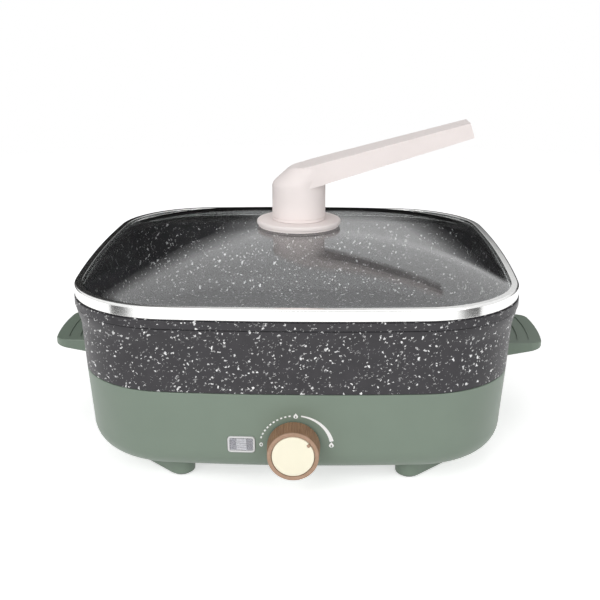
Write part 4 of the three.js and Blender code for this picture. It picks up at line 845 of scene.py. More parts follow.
def grip_plan(start, margin):
    """Plan of a grip from a place along X to its bowed end, or what lies a margin inside it."""
    corner_y = GRIP_HALF_WIDTH - GRIP_CORNER_RADIUS
    corner_reach = math.sqrt((GRIP_END_RADIUS - GRIP_CORNER_RADIUS) ** 2 - corner_y ** 2)
    corner_x = GRIP_END_CENTRE[0] + corner_reach
    angle = math.degrees(math.atan2(corner_y, corner_reach))
    radius = GRIP_CORNER_RADIUS - margin
    side = GRIP_HALF_WIDTH - margin
    return [
        *arc_places((corner_x, -corner_y), radius, -90, -angle, 2 * ROUND_STEPS),
        *arc_places(GRIP_END_CENTRE, GRIP_END_RADIUS - margin, -angle, angle, 3 * ROUND_STEPS)[1:-1],
        *arc_places((corner_x, corner_y), radius, angle, 90, 2 * ROUND_STEPS),
        (start, side),
        (start, -side),
    ]


def grip_groove(distance):
    """Groove with round ends in a grip's top, which follows its bowed end."""
    middle = GRIP_END_RADIUS - distance
    half = GRIP_GROOVE_WIDTH / 2
    angle = math.degrees(math.asin((GRIP_HALF_WIDTH - GRIP_GROOVE_MARGIN) / middle))
    right, left = arc_places(GRIP_END_CENTRE, middle, angle, -angle, 1)
    outline = [
        *arc_places(GRIP_END_CENTRE, middle + half, -angle, angle, 3 * ROUND_STEPS),
        *arc_places(right, half, angle, angle + 180)[1:-1],
        *arc_places(GRIP_END_CENTRE, middle - half, angle, -angle, 3 * ROUND_STEPS),
        *arc_places(left, half, 180 - angle, 360 - angle)[1:-1],
    ]
    return prism("cut", outline, GRIP_TOP - GRIP_GROOVE_DEPTH, GRIP_TOP + CUT_OVERRUN)


def grip_pockets(start):
    """Hollow under a grip, parted by ribs."""
    bottom = GRIP_TOP - GRIP_ROOT_THICKNESS - CUT_OVERRUN
    whole = prism("cut", grip_plan(start, GRIP_WALL), bottom, GRIP_TOP - GRIP_WALL - GRIP_GROOVE_DEPTH)
    span = 2 * (GRIP_HALF_WIDTH - GRIP_WALL)
    pitch = (span + GRIP_RIB) / GRIP_POCKETS
    back = start - CUT_OVERRUN
    ribs = []
    for index in range(1, GRIP_POCKETS):
        right = index * pitch - span / 2
        left = right - GRIP_RIB
        outline = [(back, left), (GRIP_REACH, left), (GRIP_REACH, right), (back, right)]
        ribs.append(prism("cut", outline, bottom - CUT_OVERRUN, GRIP_TOP))
    return cut(whole, *ribs)


def grip(name, heading):
    """Side grip: its side view across its plan, with grooves on top and pockets below."""
    root = SEAM_HALF_WIDTH - GRIP_ROOT_DEPTH
    wall_x = wall_half_width(GRIP_TOP)
    low = GRIP_TOP - GRIP_ROOT_THICKNESS
    reach = GRIP_HALF_WIDTH + GRIP_SIDE_OVERRUN
    side = [
        (root, low), (wall_x, low), (GRIP_REACH, GRIP_TOP - GRIP_TIP_THICKNESS),
        (GRIP_REACH, GRIP_TOP), (root, GRIP_TOP),
    ]
    body = move(prism(name, side, -reach, reach), turn(90, "X"))
    plan = prism("cut", grip_plan(root - CUT_OVERRUN, 0), low - CUT_OVERRUN, GRIP_TOP + CUT_OVERRUN)
    soften(combine(body, "INTERSECT", plan), GRIP_EDGE, 4)
    grooves = [grip_groove(distance) for distance in GRIP_GROOVE_INSETS]
    cut(bake(body), *grooves, grip_pockets(wall_x + GRIP_WALL))
    return shade(move(body, turn(heading)))


def bar_outline(radius):
    """Outline of a leg or a pad: a bar along X with round ends."""
    right = arc_places((LEG_HALF_LENGTH, 0), radius, -90, 90, 2 * ROUND_STEPS)
    return right + arc_places((-LEG_HALF_LENGTH, 0), radius, 90, 270, 2 * ROUND_STEPS)


def bar(name, radius, edge, bottom, top, steps=ROUND_STEPS):
    """Upright bar with a rounded lower edge."""
    profile = [*arc_places((edge, bottom + edge), edge, 270, 180, steps), (0, top)]
    return skin(name, [level(bar_outline(radius - depth), z) for depth, z in profile])


def at_leg(thing, heading):
    """Sets a body built across X under the housing's corner."""
    return move(thing, turn(heading) @ shift(LEG_DISTANCE, 0, 0) @ turn(90))


def leg(name, heading):
    body = bar(name, LEG_RADIUS, LEG_EDGE, LEG_BOTTOM, LEG_ROOT)
    top = LEG_BOTTOM + PAD_RECESS
    recess = prism("cut", bar_outline(PAD_RADIUS + PAD_ROOM), LEG_BOTTOM - CUT_OVERRUN, top)
    return shade(at_leg(cut(body, recess), heading))


def foot_pad(name, heading):
    return shade(at_leg(bar(name, PAD_RADIUS, PAD_EDGE, 0, PAD_TOP, SMALL_STEPS), heading))


def inlet_pad():
    pad = prism("inlet_pad", rounded_rectangle(*INLET_PAD_OUTLINE, BROAD_STEPS), INLET_PAD_START, INLET_PAD_Y)
    return soften(facing_back(cut(pad, inlet_hole()), INLET_Z), INLET_PAD_EDGE)


# Pot
def pot_inside(z):
    seam_inner = SEAM_HALF_WIDTH - HOUSING_WALL - POT_SIDE_GAP - POT_WALL
    slope = (POT_MOUTH_HALF_WIDTH - seam_inner) / (POT_RIM - SEAM_HEIGHT)
    wall = wall_section(z)
    return wall.inset(wall.half_width - seam_inner - slope * (z - SEAM_HEIGHT))


def fillet_sections(wall, radius, floor):
    """Sections round a fillet between a level floor and a wall, from the floor up."""
    places = arc_places((radius, floor + radius), radius, 270, 180, FILLET_STEPS)
    return [wall(z).inset(depth) for depth, z in places]


def pot_outside(z):
    """Outer wall of the pot: straight, then a cove up to the flange."""
    share = (z - POT_COVE_BOTTOM) / (POT_FLANGE_BOTTOM - POT_COVE_BOTTOM)
    start = wall_half_width(POT_COVE_BOTTOM)
    slope = WALL_DRAFT_SHARE * (POT_FLANGE_BOTTOM - POT_COVE_BOTTOM)
    rise = 3 * share ** 2 - 2 * share ** 3
    lead = share ** 3 - 2 * share ** 2 + share
    growth = POT_FLANGE_HALF_WIDTH - POT_FLANGE_STEP - start
    return Section(start + growth * rise + slope * lead, wall_section(z).corner_radius, z)


def pot_body():
    tuck = HOUSING_WALL + POT_SIDE_GAP
    shoulder = wall_section(POT_SHOULDER)
    groove_bottom = POT_FLANGE_BOTTOM - POT_GROOVE_HEIGHT
    groove = pot_outside(groove_bottom).inset(POT_GROOVE_DEPTH)
    groove.corner_radius -= POT_GROOVE_DEPTH / (math.sqrt(2) - 1)
    flange = Section(POT_FLANGE_HALF_WIDTH, wall_section(POT_RIM).corner_radius, POT_FLANGE_BOTTOM)
    foot, edge, rabbet = POT_FLANGE_FOOT, POT_FLANGE_EDGE, POT_RIM - POT_RABBET_HEIGHT
    flange_profile = [
        *arc_places((foot, POT_FLANGE_BOTTOM + foot), foot, 270, 180, TINY_STEPS),
        *arc_places((edge, rabbet - edge), edge, 180, 90, SMALL_STEPS),
        (POT_RABBET_DEPTH, rabbet),
        (POT_RABBET_DEPTH, POT_RIM),
    ]
    mouth = POT_MOUTH_EDGE
    mouth_edge = arc_places((-mouth, POT_RIM - mouth), mouth, 90, 0, TINY_STEPS)
    return shade(loft("pot_body", [
        *fillet_sections(lambda z: wall_section(z).inset(tuck), POT_OUTER_FILLET, POT_UNDERSIDE),
        shoulder.inset(tuck),
        shoulder.inset(POT_SHOULDER_INSET),
        *(wall_section(z) for z in POT_OUTER_HEIGHTS),
        *(pot_outside(mix(POT_COVE_BOTTOM, groove_bottom, share)) for share in shares(FILLET_STEPS)),
        groove,
        groove.inset(0, POT_FLANGE_BOTTOM),
        *(flange.inset(depth, z) for depth, z in flange_profile),
        *(pot_inside(z).inset(depth) for depth, z in mouth_edge),
        *(pot_inside(z) for z in POT_INNER_HEIGHTS),
        *reversed(fillet_sections(pot_inside, POT_INNER_FILLET, POT_FLOOR)),
    ]))


# Lid
def rim_band():
    """Steel strip folded round the glass edge, with a hem on the pot's rim and a skirt inside it."""
    outside = Section(BAND_HALF_WIDTH, BAND_CORNER_RADIUS, BAND_BOTTOM)
    edge, skirt, half = BAND_EDGE_RADIUS, BAND_SKIRT_INSET, BAND_SHEET / 2
    centre = (edge, LID_TOP - edge)
    shelf = BAND_SHELF - BAND_SHEET
    profile = [
        *arc_places((half, BAND_BOTTOM + half), half, 270, 180, TINY_STEPS),
        *arc_places(centre, edge, 180, 90, BROAD_STEPS),
        *arc_places((BAND_LIP - half, LID_TOP - half), half, 90, -90),
        *arc_places(centre, edge - BAND_SHEET, 90, 180, FOLD_STEPS),
        (BAND_SHEET, BAND_SHELF),
        *arc_places((skirt, shelf), BAND_SHEET, 90, 0, SMALL_STEPS),
        *arc_places((skirt + half, BAND_SKIRT_BOTTOM + half), half, 0, -180),
        (skirt, shelf),
        (BAND_HEM, shelf),
        (BAND_HEM, BAND_BOTTOM),
    ]
    return shade(loft("rim_band", [outside.inset(depth, z) for depth, z in profile], True), LID_SHARP_ANGLE)


def lid_dome():
    def ring(share, drop):
        rise = GLASS_RISE * (1 - min(share / GLASS_FLAT_SHARE, 1) ** GLASS_POWER)
        half_width = GLASS_HALF_WIDTH * share
        corner_radius = half_width * mix(GLASS_MIDDLE_SHARE, GLASS_EDGE_SHARE, share)
        return Section(half_width, corner_radius, GLASS_EDGE_TOP + rise - drop)

    reaches = [mix(GLASS_HOLE_RADIUS / GLASS_HALF_WIDTH, 1, share) for share in shares(DOME_STEPS)]
    top = [ring(reach, 0) for reach in reversed(reaches)]
    bottom = [ring(reach, GLASS_THICKNESS) for reach in reaches]
    return shade(loft("lid_dome", top + bottom, True), LID_SHARP_ANGLE)


def handle_base():
    """Round flange between the glass and the handle."""
    low, high = FLANGE_LOW.z, FLANGE_HIGH.z
    foot = FLANGE_EDGE / 2
    skirt_outer = FLANGE_RADIUS - FLANGE_SKIRT_INSET
    skirt_inner = skirt_outer - FLANGE_SKIRT_WIDTH
    skirt_bottom = GLASS_EDGE_TOP + GLASS_RISE - foot / 4
    return shade(lathe("handle_base", [
        (HANDLE_BORE, low),
        (skirt_inner, low),
        (skirt_inner, skirt_bottom),
        (skirt_outer, skirt_bottom),
        (skirt_outer, low),
        *arc_places((FLANGE_RADIUS - foot, low + foot), foot, -90, 0, TINY_STEPS),
        *arc_places((FLANGE_RADIUS - FLANGE_EDGE, high - FLANGE_EDGE), FLANGE_EDGE, 0, 90),
        (HANDLE_BORE, high),
    ]))


def nose_curve(start, corner, end):
    """Places on a curve from one place to another that heads for the corner at both."""
    return [
        tuple(mix(mix(a, b, share), mix(b, c, share), share) for a, b, c in zip(start, corner, end))
        for share in shares(ROUND_STEPS)
    ]


def handle_arm():
    """Round post that leans over to a crown, and the flat arm that rises from it."""
    far = CROWN_X + CROWN_RADIUS + CUT_OVERRUN
    arm_slope = (TIP_PLACE[1] - KNEE_PLACE[1]) / (TIP_PLACE[0] - KNEE_PLACE[0])
    crown_corner = (CROWN_X - CROWN_RADIUS, CROWN_HEIGHT)
    nose_slope = (CROWN_HEIGHT - NOSE_PLACE[1]) / (crown_corner[0] - NOSE_PLACE[0])

    def arm_top(x):
        return KNEE_PLACE[1] + arm_slope * (x - KNEE_PLACE[0])

    def post_ring(lean, height):
        return circle(mix(POST_RADIUS, CROWN_RADIUS, lean), HANDLE_BOTTOM + height, CROWN_X * lean)

    def side_body(places):
        body = prism("cut", [(x, HANDLE_BOTTOM + height) for x, height in places], -far, far)
        return move(body, turn(90, "X"))

    bend = SHOULDER_BEND / (CROWN_HEIGHT - SHOULDER_HEIGHT)
    post = skin("handle_arm", [
        post_ring(0, 0),
        *(post_ring(bend * share ** 2, SHOULDER_HEIGHT + SHOULDER_BEND * (2 * share - 1))
          for share in shares(ROUND_STEPS)),
        post_ring(1, CROWN_HEIGHT),
        post_ring(1, arm_top(far)),
    ])
    combine(post, "INTERSECT", side_body([
        (-far, -CUT_OVERRUN),
        (far, -CUT_OVERRUN),
        (far, arm_top(far)),
        *reversed(nose_curve(NOSE_PLACE, crown_corner, KNEE_PLACE)),
        (-far, NOSE_PLACE[1] - nose_slope * (NOSE_PLACE[0] + far)),
    ]))
    arm = side_body([
        (0, ROOT_BOTTOM_HEIGHT),
        TIP_BOTTOM_PLACE,
        TIP_PLACE,
        (CROWN_X, arm_top(CROWN_X)),
        (CROWN_X, CROWN_HEIGHT),
        (0, SHOULDER_HEIGHT),
    ])
    end = TIP_BOTTOM_PLACE[0]
    root = CROWN_RADIUS + CROWN_X * (CROWN_RADIUS - TIP_HALF_WIDTH) / (end - CROWN_X)
    plan = [(0, -root), (end, -TIP_HALF_WIDTH), (end, TIP_HALF_WIDTH), (0, root)]
    combine(arm, "INTERSECT", prism("cut", plan, HANDLE_BOTTOM, HANDLE_HIGH.z + CUT_OVERRUN))
    combine(post, "UNION", arm)
    cut(post, rod("cut", HANDLE_BORE, HANDLE_BOTTOM - CUT_OVERRUN, HANDLE_BOTTOM + HANDLE_BORE_DEPTH))
    soften(post, HANDLE_EDGE, 4, HANDLE_EDGE_ANGLE)
    inner, outer = POST_RADIUS - POST_GROOVE_DEPTH, POST_RADIUS + CUT_OVERRUN
    bottom = HANDLE_BOTTOM + POST_COLLAR_HEIGHT
    top = bottom + POST_GROOVE_HEIGHT
    groove = lathe("cut", [(inner, bottom), (outer, bottom), (outer, top), (inner, top)])
    return shade(cut(post, move(groove, turn(180 / CIRCLE_STEPS))), HANDLE_EDGE_ANGLE)


# Knob
def facing_front(thing):
    """Turns what is built with its front up to face -Y, at the knob's height."""
    return move(thing, shift(0, 0, KNOB_HEIGHT) @ turn(90, "X"))


def fluted_ring(radius, depth, z):
    """Ring of rounded ribs with narrow valleys between them."""
    points = []
    for share in shares(KNOB_FLUTES * FLUTE_STEPS)[:-1]:
        angle = 2 * math.pi * share
        rib = abs(math.cos(KNOB_FLUTES * angle / 2)) ** KNOB_FLUTE_POWER
        reach = radius - depth * (1 - rib)
        points.append(Vector((reach * math.cos(angle), reach * math.sin(angle), z)))
    return points


def knob_grip():
    edge, depth = KNOB_FRONT_EDGE, KNOB_FLUTE_DEPTH
    fade = [KNOB_FRONT - KNOB_SMOOTH_FRONT + height for height in KNOB_FLUTE_ENDS]
    rounding = arc_places((KNOB_FRONT_RADIUS - edge, KNOB_FRONT - edge), edge, 0, 90, SMALL_STEPS)
    profile = [
        (KNOB_BACK_RADIUS - KNOB_BACK_EDGE, depth, KNOB_BACK),
        (KNOB_BACK_RADIUS, depth, KNOB_BACK + KNOB_BACK_EDGE),
        (KNOB_FRONT_RADIUS + depth / 2, depth, fade[0]),
        (KNOB_FRONT_RADIUS, depth / 2, fade[1]),
        (KNOB_FRONT_RADIUS, 0, fade[2]),
        *((radius, 0, z) for radius, z in rounding),
        (KNOB_BORE_RADIUS + KNOB_BORE_EDGE, 0, KNOB_FRONT),
        (KNOB_BORE_RADIUS, 0, KNOB_FRONT - KNOB_BORE_EDGE),
        (KNOB_BORE_RADIUS, 0, KNOB_BACK),
    ]
    body = skin("knob_grip", [fluted_ring(*place) for place in profile], True)
    return shade(facing_front(body), KNOB_SHARP_ANGLE)


def at_cap_edge(thing, reach):
    """Sets a body at a distance from the knob's axis, towards the pointer mark."""
    return move(thing, turn(-CAP_MARK_ANGLE) @ shift(0, reach, 0))


def knob_face():
    crown = -CAP_LOW.y - KNOB_FRONT
    flat = CAP_RADIUS - CAP_EDGE
    ball = (CAP_RADIUS ** 2 + crown ** 2) / (2 * crown)
    radii = [flat * (1 - share) for share in shares(FILLET_STEPS)[1:-1]]
    cap = lathe("knob_face", [
        (CAP_RADIUS, KNOB_FRONT - CAP_THICKNESS),
        *arc_places((flat, KNOB_FRONT - CAP_EDGE), CAP_EDGE, 0, CAP_EDGE_ANGLE),
        *((radius, KNOB_FRONT + crown - ball + math.sqrt(ball ** 2 - radius ** 2)) for radius in radii),
    ], False)
    notch = rounded_rectangle(CAP_MARK_WIDTH, 2 * CAP_MARK_DEPTH, CAP_MARK_CORNER, SMALL_STEPS)
    mark = prism("cut", notch, KNOB_FRONT - CAP_THICKNESS - CUT_OVERRUN, KNOB_FRONT + CUT_OVERRUN)
    return shade(facing_front(cut(cap, at_cap_edge(mark, CAP_RADIUS))))


def cap_mark():
    """Brown pointer mark that fills the cap's notch up to just below its face."""
    room = CAP_MARK_ROOM
    length = CAP_MARK_DEPTH - 2 * room
    width, corner = CAP_MARK_WIDTH - 2 * room, CAP_MARK_CORNER - 2 * room
    outline = rounded_rectangle(width, length, corner, SMALL_STEPS)
    mark = prism("cap_mark", outline, KNOB_FRONT - CAP_THICKNESS, KNOB_FRONT - CAP_MARK_SINK)
    return soften(facing_front(at_cap_edge(mark, CAP_RADIUS - room - length / 2)), CAP_MARK_EDGE)


# Signal lamp
def lens_outline(inset, steps=BROAD_STEPS, radius=None):
    corner = LENS_CORNER_RADIUS - inset if radius is None else radius
    return rounded_rectangle(LENS_WIDTH - 2 * inset, LENS_HEIGHT - 2 * inset, corner, steps)


def lens_frame():
    outer, inner = LENS_FRAME_OUTER_EDGE, LENS_FRAME_INNER_EDGE
    profile = (
        (0, -LENS_SINK), (0, LENS_PROUD - outer), (outer, LENS_PROUD),
        (LENS_FRAME - inner, LENS_PROUD), (LENS_FRAME, LENS_PROUD - inner), (LENS_FRAME, -LENS_SINK),
    )
    return shade(at_lamp(skin("lens_frame", [level(lens_outline(inset), z) for inset, z in profile], True)))


def lens_window():
    """Thin clear window, nearly flush with its frame."""
    top = LENS_PROUD - LENS_FRAME_INNER_EDGE
    window = prism("lens_window", lens_outline(LENS_OPENING_INSET), LENS_WINDOW_BOTTOM, top)
    return soften(at_lamp(window), LENS_WINDOW_EDGE)


def lens_block():
    """Diffuser behind the window: a plate with a ribbed block in the middle."""
    outline = rounded_rectangle(LENS_BLOCK_WIDTH, LENS_BLOCK_HEIGHT, LENS_BLOCK_CORNER, TINY_STEPS)
    body = prism("lens_block", outline, -LENS_PLUG_DEPTH, LENS_FACET_TOP)
    plate = prism("lens_plate", lens_outline(LENS_OPENING_INSET), -LENS_SINK, LENS_PLATE_TOP)
    combine(body, "UNION", plate)
    length = LENS_BLOCK_WIDTH + 2 * LENS_BLOCK_GROOVE
    slot = rounded_rectangle(length, LENS_BLOCK_GROOVE, LENS_BLOCK_GROOVE_CORNER, 2)
    cuts = []
    for share in shares(LENS_BLOCK_RIBS)[1:-1]:
        groove = prism("cut", slot, LENS_PLATE_TOP, CUT_OVERRUN)
        cuts.append(move(groove, shift(0, LENS_BLOCK_HEIGHT * (share - 0.5), 0)))
    return shade(at_lamp(cut(body, *cuts)))


def lens_wings():
    """Small pyramids on both sides of the block, which glint like cut glass."""
    vertices, faces = [], []
    margin = LENS_FRAME + LENS_FACET_MARGIN
    half_height = LENS_HEIGHT / 2 - margin
    inner, outer = LENS_BLOCK_WIDTH / 2 + LENS_FACET_GAP, LENS_WIDTH / 2 - margin
    low = LENS_PLATE_TOP + LENS_FACET_LIFT
    for side in (-1, 1):
        for row in range(LENS_FACET_ROWS):
            for column in range(LENS_FACET_COLUMNS):
                reaches = (mix(inner, outer, (column + end) / LENS_FACET_COLUMNS) for end in (0, 1))
                x0, x1 = sorted(side * reach for reach in reaches)
                y0, y1 = (mix(-half_height, half_height, (row + end) / LENS_FACET_ROWS) for end in (0, 1))
                first = len(vertices)
                vertices += [(x0, y0, low), (x1, y0, low), (x1, y1, low), (x0, y1, low)]
                vertices.append(((x0 + x1) / 2, (y0 + y1) / 2, LENS_FACET_TOP))
                faces.append(tuple(first + index for index in (3, 2, 1, 0)))
                faces += [(first + index, first + (index + 1) % 4, first + 4) for index in range(4)]
    return shade(at_lamp(mesh_object("lens_wings", vertices, faces)), FACET_SHARP_ANGLE)


# Print on the front wall
def on_wall(name, outlines):
    """Thin bodies of ink, each outline laid on the front wall round the knob's axis."""
    vertices, faces = [], []
    for outline in outlines:
        faces += skin_faces(len(outline), 2, first=len(vertices))
        places = [front_wall_frame(x, KNOB_HEIGHT + z) for x, z in outline]
        vertices += [place @ Vector((0, 0, lift)) for lift in (-PRINT_SINK, PRINT_PROUD) for place in places]
    return shade(mesh_object(name, vertices, faces), PRINT_SHARP_ANGLE)


def clock(radius, degrees):
    """Place round the knob, by degrees clockwise from the top."""
    angle = math.radians(degrees)
    return PRINT_SHIFT[0] + radius * math.sin(angle), PRINT_SHIFT[1] + radius * math.cos(angle)


def arc_band(angles, widths, steps):
    """Outline of a stroke round the knob whose width changes along it."""
    outer, inner = (
        [clock(PRINT_RADIUS + side * mix(*widths, share), mix(*angles, share)) for share in shares(steps)]
        for side in (0.5, -0.5)
    )
    return outer[::-1] + inner


def dashes():
    first, last = DASH_ANGLES
    pitch = (last - first) / (DASH_COUNT - 0.5)
    starts = [first + index * pitch for index in range(DASH_COUNT)]
    return [arc_band((start, start + pitch / 2), (DASH_WIDTH, DASH_WIDTH), TINY_STEPS) for start in starts]


def stroke_quads(outline):
    """Quads between the two sides of a stroke, as separate outlines."""
    half = len(outline) // 2
    outer, inner = outline[:half][::-1], outline[half:]
    return [[outer[i + 1], outer[i], inner[i], inner[i + 1]] for i in range(half - 1)]


def flame(angle, inset, height):
    """A plain flame: a drop with a hollow foot, as two halves that meet at its tip."""
    place = clock(PRINT_RADIUS - inset, angle)
    quads = []
    for side in (1, -1):
        half = FLAME_OUTER_SHARES + FLAME_INNER_SHARES[::-1]
        places = [(place[0] + side * x * height, place[1] + y * height) for x, y in half]
        quads += stroke_quads(places[::-1] if side > 0 else places)
    return quads


def zero():
    """The figure 0, as two half rings."""
    place = clock(PRINT_RADIUS - ZERO_INSET, ZERO_ANGLE)
    halves = []
    for start, end in ((90, -90), (270, 90)):
        arc = arc_places((0, 0), 1, start, end, FILLET_STEPS)
        outer, inner = (
            [(place[0] + x * (ZERO_WIDTH / 2 - inset), place[1] + y * (ZERO_HEIGHT / 2 - inset))
             for x, y in arc]
            for inset in (0, ZERO_STROKE)
        )
        halves.append(outer[::-1] + inner)
    return halves


def dial_print():
    sweep = stroke_quads(arc_band(SWEEP_ANGLES, SWEEP_WIDTHS, SWEEP_STEPS))
    flames = [quad for size in FLAMES for quad in flame(*size)]
    return on_wall("dial_print", [*dashes(), *sweep, *flames, *zero()])


# The pieces
BASE_PLASTIC = (Looks.housing, "base", "housing_plastic", "base_housing")
for piece in (housing_shell(), grip("grip_right", 0), grip("grip_left", 180), inlet_pad()):
    finish(piece, *BASE_PLASTIC)
for corner, heading in LEG_HEADINGS.items():
    finish(leg(f"leg_{corner}", heading), *BASE_PLASTIC)
    finish(foot_pad(f"pad_{corner}", heading), Looks.rubber, "base", "pad_rubber", f"foot_pad_{corner}")
finish(pot_body(), Looks.pot, "base", "pot_coating", "pot")
finish(dial_print(), Looks.ink, "base", "housing_plastic")
for piece, look in (
    (lens_frame(), Looks.lens_frame),
    (lens_window(), Looks.lens),
    (lens_block(), Looks.reflector),
    (lens_wings(), Looks.facets),
):
    finish(piece, look, "base", "lamp_clear", "lamp_lens")
finish(rim_band(), Looks.band, "lid", "band_steel", "lid_rim_band")
finish(lid_dome(), Looks.lid, "lid", "lid_clear", "lid_glass")
finish(handle_base(), Looks.handle, "lid", "handle_cream", "handle_flange")
finish(handle_arm(), Looks.handle, "lid", "handle_cream", "lid_handle")
finish(knob_grip(), Looks.wood, "knob", "knob_brown", "knob_ring")
finish(knob_face(), Looks.ivory, "knob", "knob_ivory", "knob_cap")
finish(cap_mark(), Looks.wood, "knob", "knob_brown")

# CAD nodes that stay: their look, and how their names begin
KEPT = (
    (Looks.housing, ("bottom_cover",)),
    (Looks.sheath, ("heating_element",)),
    (Looks.shield, ("heat_shield",)),
    (Looks.ceramic, ("terminal_bush", "thermostat_body", "lamp_holder")),
    (Looks.brass, ("thermostat_tab", "inlet_pin")),
    (Looks.wood, ("knob_core",)),
    (Looks.neon, ("neon_lamp",)),
    (Looks.black, ("inlet_housing",)),
    (Looks.brown_wire, ("live_wire", "switched_wire", "element_wire")),
    (Looks.blue_wire, ("neutral_wire", "lamp_wire")),
    (Looks.earth_wire, ("earth_wire",)),
    (Looks.silicone, ("handle_gasket", "inner_gasket")),
    (Looks.zinc, (
        "cover_screw", "pot_screw", "bracket_screw", "inlet_screw", "earth_screw", "lid_screw", "lid_washer",
        "terminal_pin", "thermostat_bracket", "thermostat_nut", "thermostat_spindle", "thermal_fuse",
        "fuse_clip",
    )),
)
ROUND_WORDS = ("heating_element", "wire", "neon_lamp", "fuse", "gasket", "washer", "terminal", "screw")
ROUND_NODE_ANGLE = 50
NODE_EDGE = 0.3
NODE_EDGE_ANGLE = 40

for look, beginnings in KEPT:
    for name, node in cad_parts.items():
        if name.startswith(beginnings):
            dress(node, look)
            if any(word in name for word in ROUND_WORDS):
                smooth(node, ROUND_NODE_ANGLE)
            else:
                bevel(node, NODE_EDGE, 2, NODE_EDGE_ANGLE)

# Camera, at the photograph's place; it and the lamps are in metres
CAMERA_PLACE = Vector((0.01696, -0.76401, 0.32807))
CAMERA_RIGHT = Vector((0.99978, 0.02117, 0.00081))
CAMERA_UP = Vector((-0.00704, 0.29587, 0.95520))
CAMERA_LENS = 59.66
CAMERA_SENSOR = 36
CAMERA_RANGE = (0.01, 100)

# Studio
LAMP_TARGET = Vector((0, 0, 0.08))
LAMPS = {  # place, size and power
    "key": ((-0.9, -1.7, 1.05), 1.3, 19),
    "fill": ((1.2, -1.6, 0.9), 1.3, 12),
    "top": ((0, 0.2, 2.2), 1.8, 6),
}
WORLD_STRENGTH = 0.38
FLOOR_REACH = 1600
FLOOR_FADE_SHARES = (0.5, 0.98)
FLOOR_CLOUD_SCALE = 3
FLOOR_TONES = (grey(0.90), grey(0.92))
FLOOR_GLOW = 0.58
STRAIGHT_DEPTH = 0.5  # a ray with fewer glossy bounces than this comes straight from the camera
CARD_CLOUD_SCALE = 5
CARD_TONES = (grey(0.010), grey(0.014))
CARDS = {  # corner, heading, roll, size, and how clear they are along and upwards
    "card_behind": ((-1100, 480, 0), 0, 0, (2200, 640), ((0, 0.0), (2200, 0.0)), (
        (0, 0.0), (150, 0.0), (205, 0.28), (250, 0.66), (295, 0.88), (340, 0.80), (490, 0.90), (640, 1.0),
    )),
    "card_slope_left": (
        (-644, 478, 327), 0, 40.4, (550, 360), ((0, 0.0), (490, 0.0), (550, 1.0)),
        ((0, 0.0), (270, 0.0), (310, 0.3), (360, 1.0)),
    ),
    "card_slope_right": (
        (200, 478, -30), 0, -20, (500, 270), ((0, 1.0), (60, 0.0), (500, 0.0)),
        ((0, 0.0), (210, 0.0), (235, 0.3), (270, 1.0)),
    ),
    "card_left": (
        (-453, -241, 0), -58, 0, (205, 110), ((0, 0.0), (110, 0.15), (205, 1.0)),
        ((0, 0.0), (70, 0.0), (110, 1.0)),
    ),
    "card_right": (
        (345, -414, 0), 58, 0, (205, 110), ((0, 1.0), (95, 0.15), (205, 0.0)),
        ((0, 0.0), (70, 0.0), (110, 1.0)),
    ),
}


def add_camera():
    data = bpy.data.cameras.new("camera")
    data.lens = CAMERA_LENS
    data.sensor_width = CAMERA_SENSOR
    data.clip_start, data.clip_end = CAMERA_RANGE
    camera = add_object("camera", data)
    back = CAMERA_RIGHT.cross(CAMERA_UP)
    turned = Matrix((CAMERA_RIGHT, CAMERA_UP, back)).transposed()
    camera.matrix_world = Matrix.Translation(CAMERA_PLACE) @ turned.to_4x4()
    scene.camera = camera


def add_lamp(name, place, size, power):
    data = bpy.data.lights.new(name, "AREA")
    data.size = size
    data.energy = power
    lamp = add_object(name, data)
    lamp.location = place
    lamp.rotation_mode = "QUATERNION"
    lamp.rotation_quaternion = (LAMP_TARGET - Vector(place)).to_track_quat("-Z", "Y")


def add_world():
    """White background, and a softer light from it on the object."""
    world = bpy.data.worlds.new("studio")
    world.use_nodes = True
    scene.world = world
    world.node_tree.nodes.clear()
    studio = Nodes(world.node_tree)
    soft, white = (
        studio.node("Background", {"Color": (1, 1, 1, 1), "Strength": strength}).outputs["Background"]
        for strength in (WORLD_STRENGTH, 1.0)
    )
    studio.node("OutputWorld", {"Surface": studio.mix_shaders(studio.shows_directly(), soft, white)})


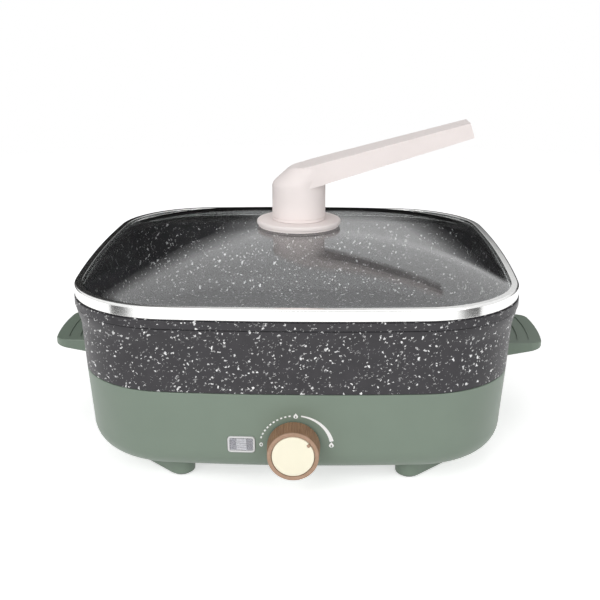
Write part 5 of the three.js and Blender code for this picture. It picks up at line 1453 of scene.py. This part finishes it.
def add_floor():
    """Pale floor under the object that gives way to the white background further out."""
    floor = mesh_object("floor", circle(FLOOR_REACH, 0), [tuple(range(CIRCLE_STEPS))])
    look = Look("floor_white", 0.9, specular=0.1)
    look.colour(look.cloud(look.noise(FLOOR_CLOUD_SCALE), *FLOOR_TONES))
    glow = look.calculate("MULTIPLY", look.shows_directly(), FLOOR_GLOW)
    look.feed(look.shader, {"Emission Color": (1, 1, 1, 1), "Emission Strength": glow})
    away = look.node("VectorMath", {0: look.place}, operation="LENGTH").outputs["Value"]
    start, end = (FLOOR_REACH * MM * share for share in FLOOR_FADE_SHARES)
    look.reveal(look.rescale(away, start, end, interpolation_type="SMOOTHSTEP"))
    dress(floor, look)


def add_card(name, corner, heading, roll, size, along, upwards):
    """Dark upright card that only reflections see, both on a surface and within glass.

    Its lower left corner, its heading and its roll place it. Two lists tell how clear it is along
    its width and up its height, as places in millimetres with the share of light let through.
    """
    width, height = size
    card = mesh_object(name, [(0, 0, 0), (width, 0, 0), (width, 0, height), (0, 0, height)], [(0, 1, 2, 3)])
    card.matrix_world = Matrix.Translation(Vector(corner) * MM) @ turn(heading) @ turn(roll, "Y")
    look = Look(name, 0.9, specular=0)
    look.colour(look.cloud(look.noise(CARD_CLOUD_SCALE), *CARD_TONES))
    parts = look.node("SeparateXYZ", {"Vector": look.place}).outputs

    def clearness(axis, reach, stops):
        here = look.rescale(parts[axis], 0, reach * MM)
        return look.ramp(here, *((place / reach, grey(share)) for place, share in stops))

    clear = look.calculate("MAXIMUM", clearness("X", width, along), clearness("Z", height, upwards))
    depth = look.node("LightPath").outputs["Glossy Depth"]
    straight = look.calculate("LESS_THAN", depth, STRAIGHT_DEPTH)
    look.reveal(look.calculate("MAXIMUM", clear, straight))
    dress(card, look)
    for kind in ("camera", "diffuse", "shadow", "volume_scatter"):
        setattr(card, f"visible_{kind}", False)


add_camera()
add_world()
add_floor()
for name, card in CARDS.items():
    add_card(name, *card)
for name, lamp in LAMPS.items():
    add_lamp(name, *lamp)
scene.view_settings.view_transform = "Standard"
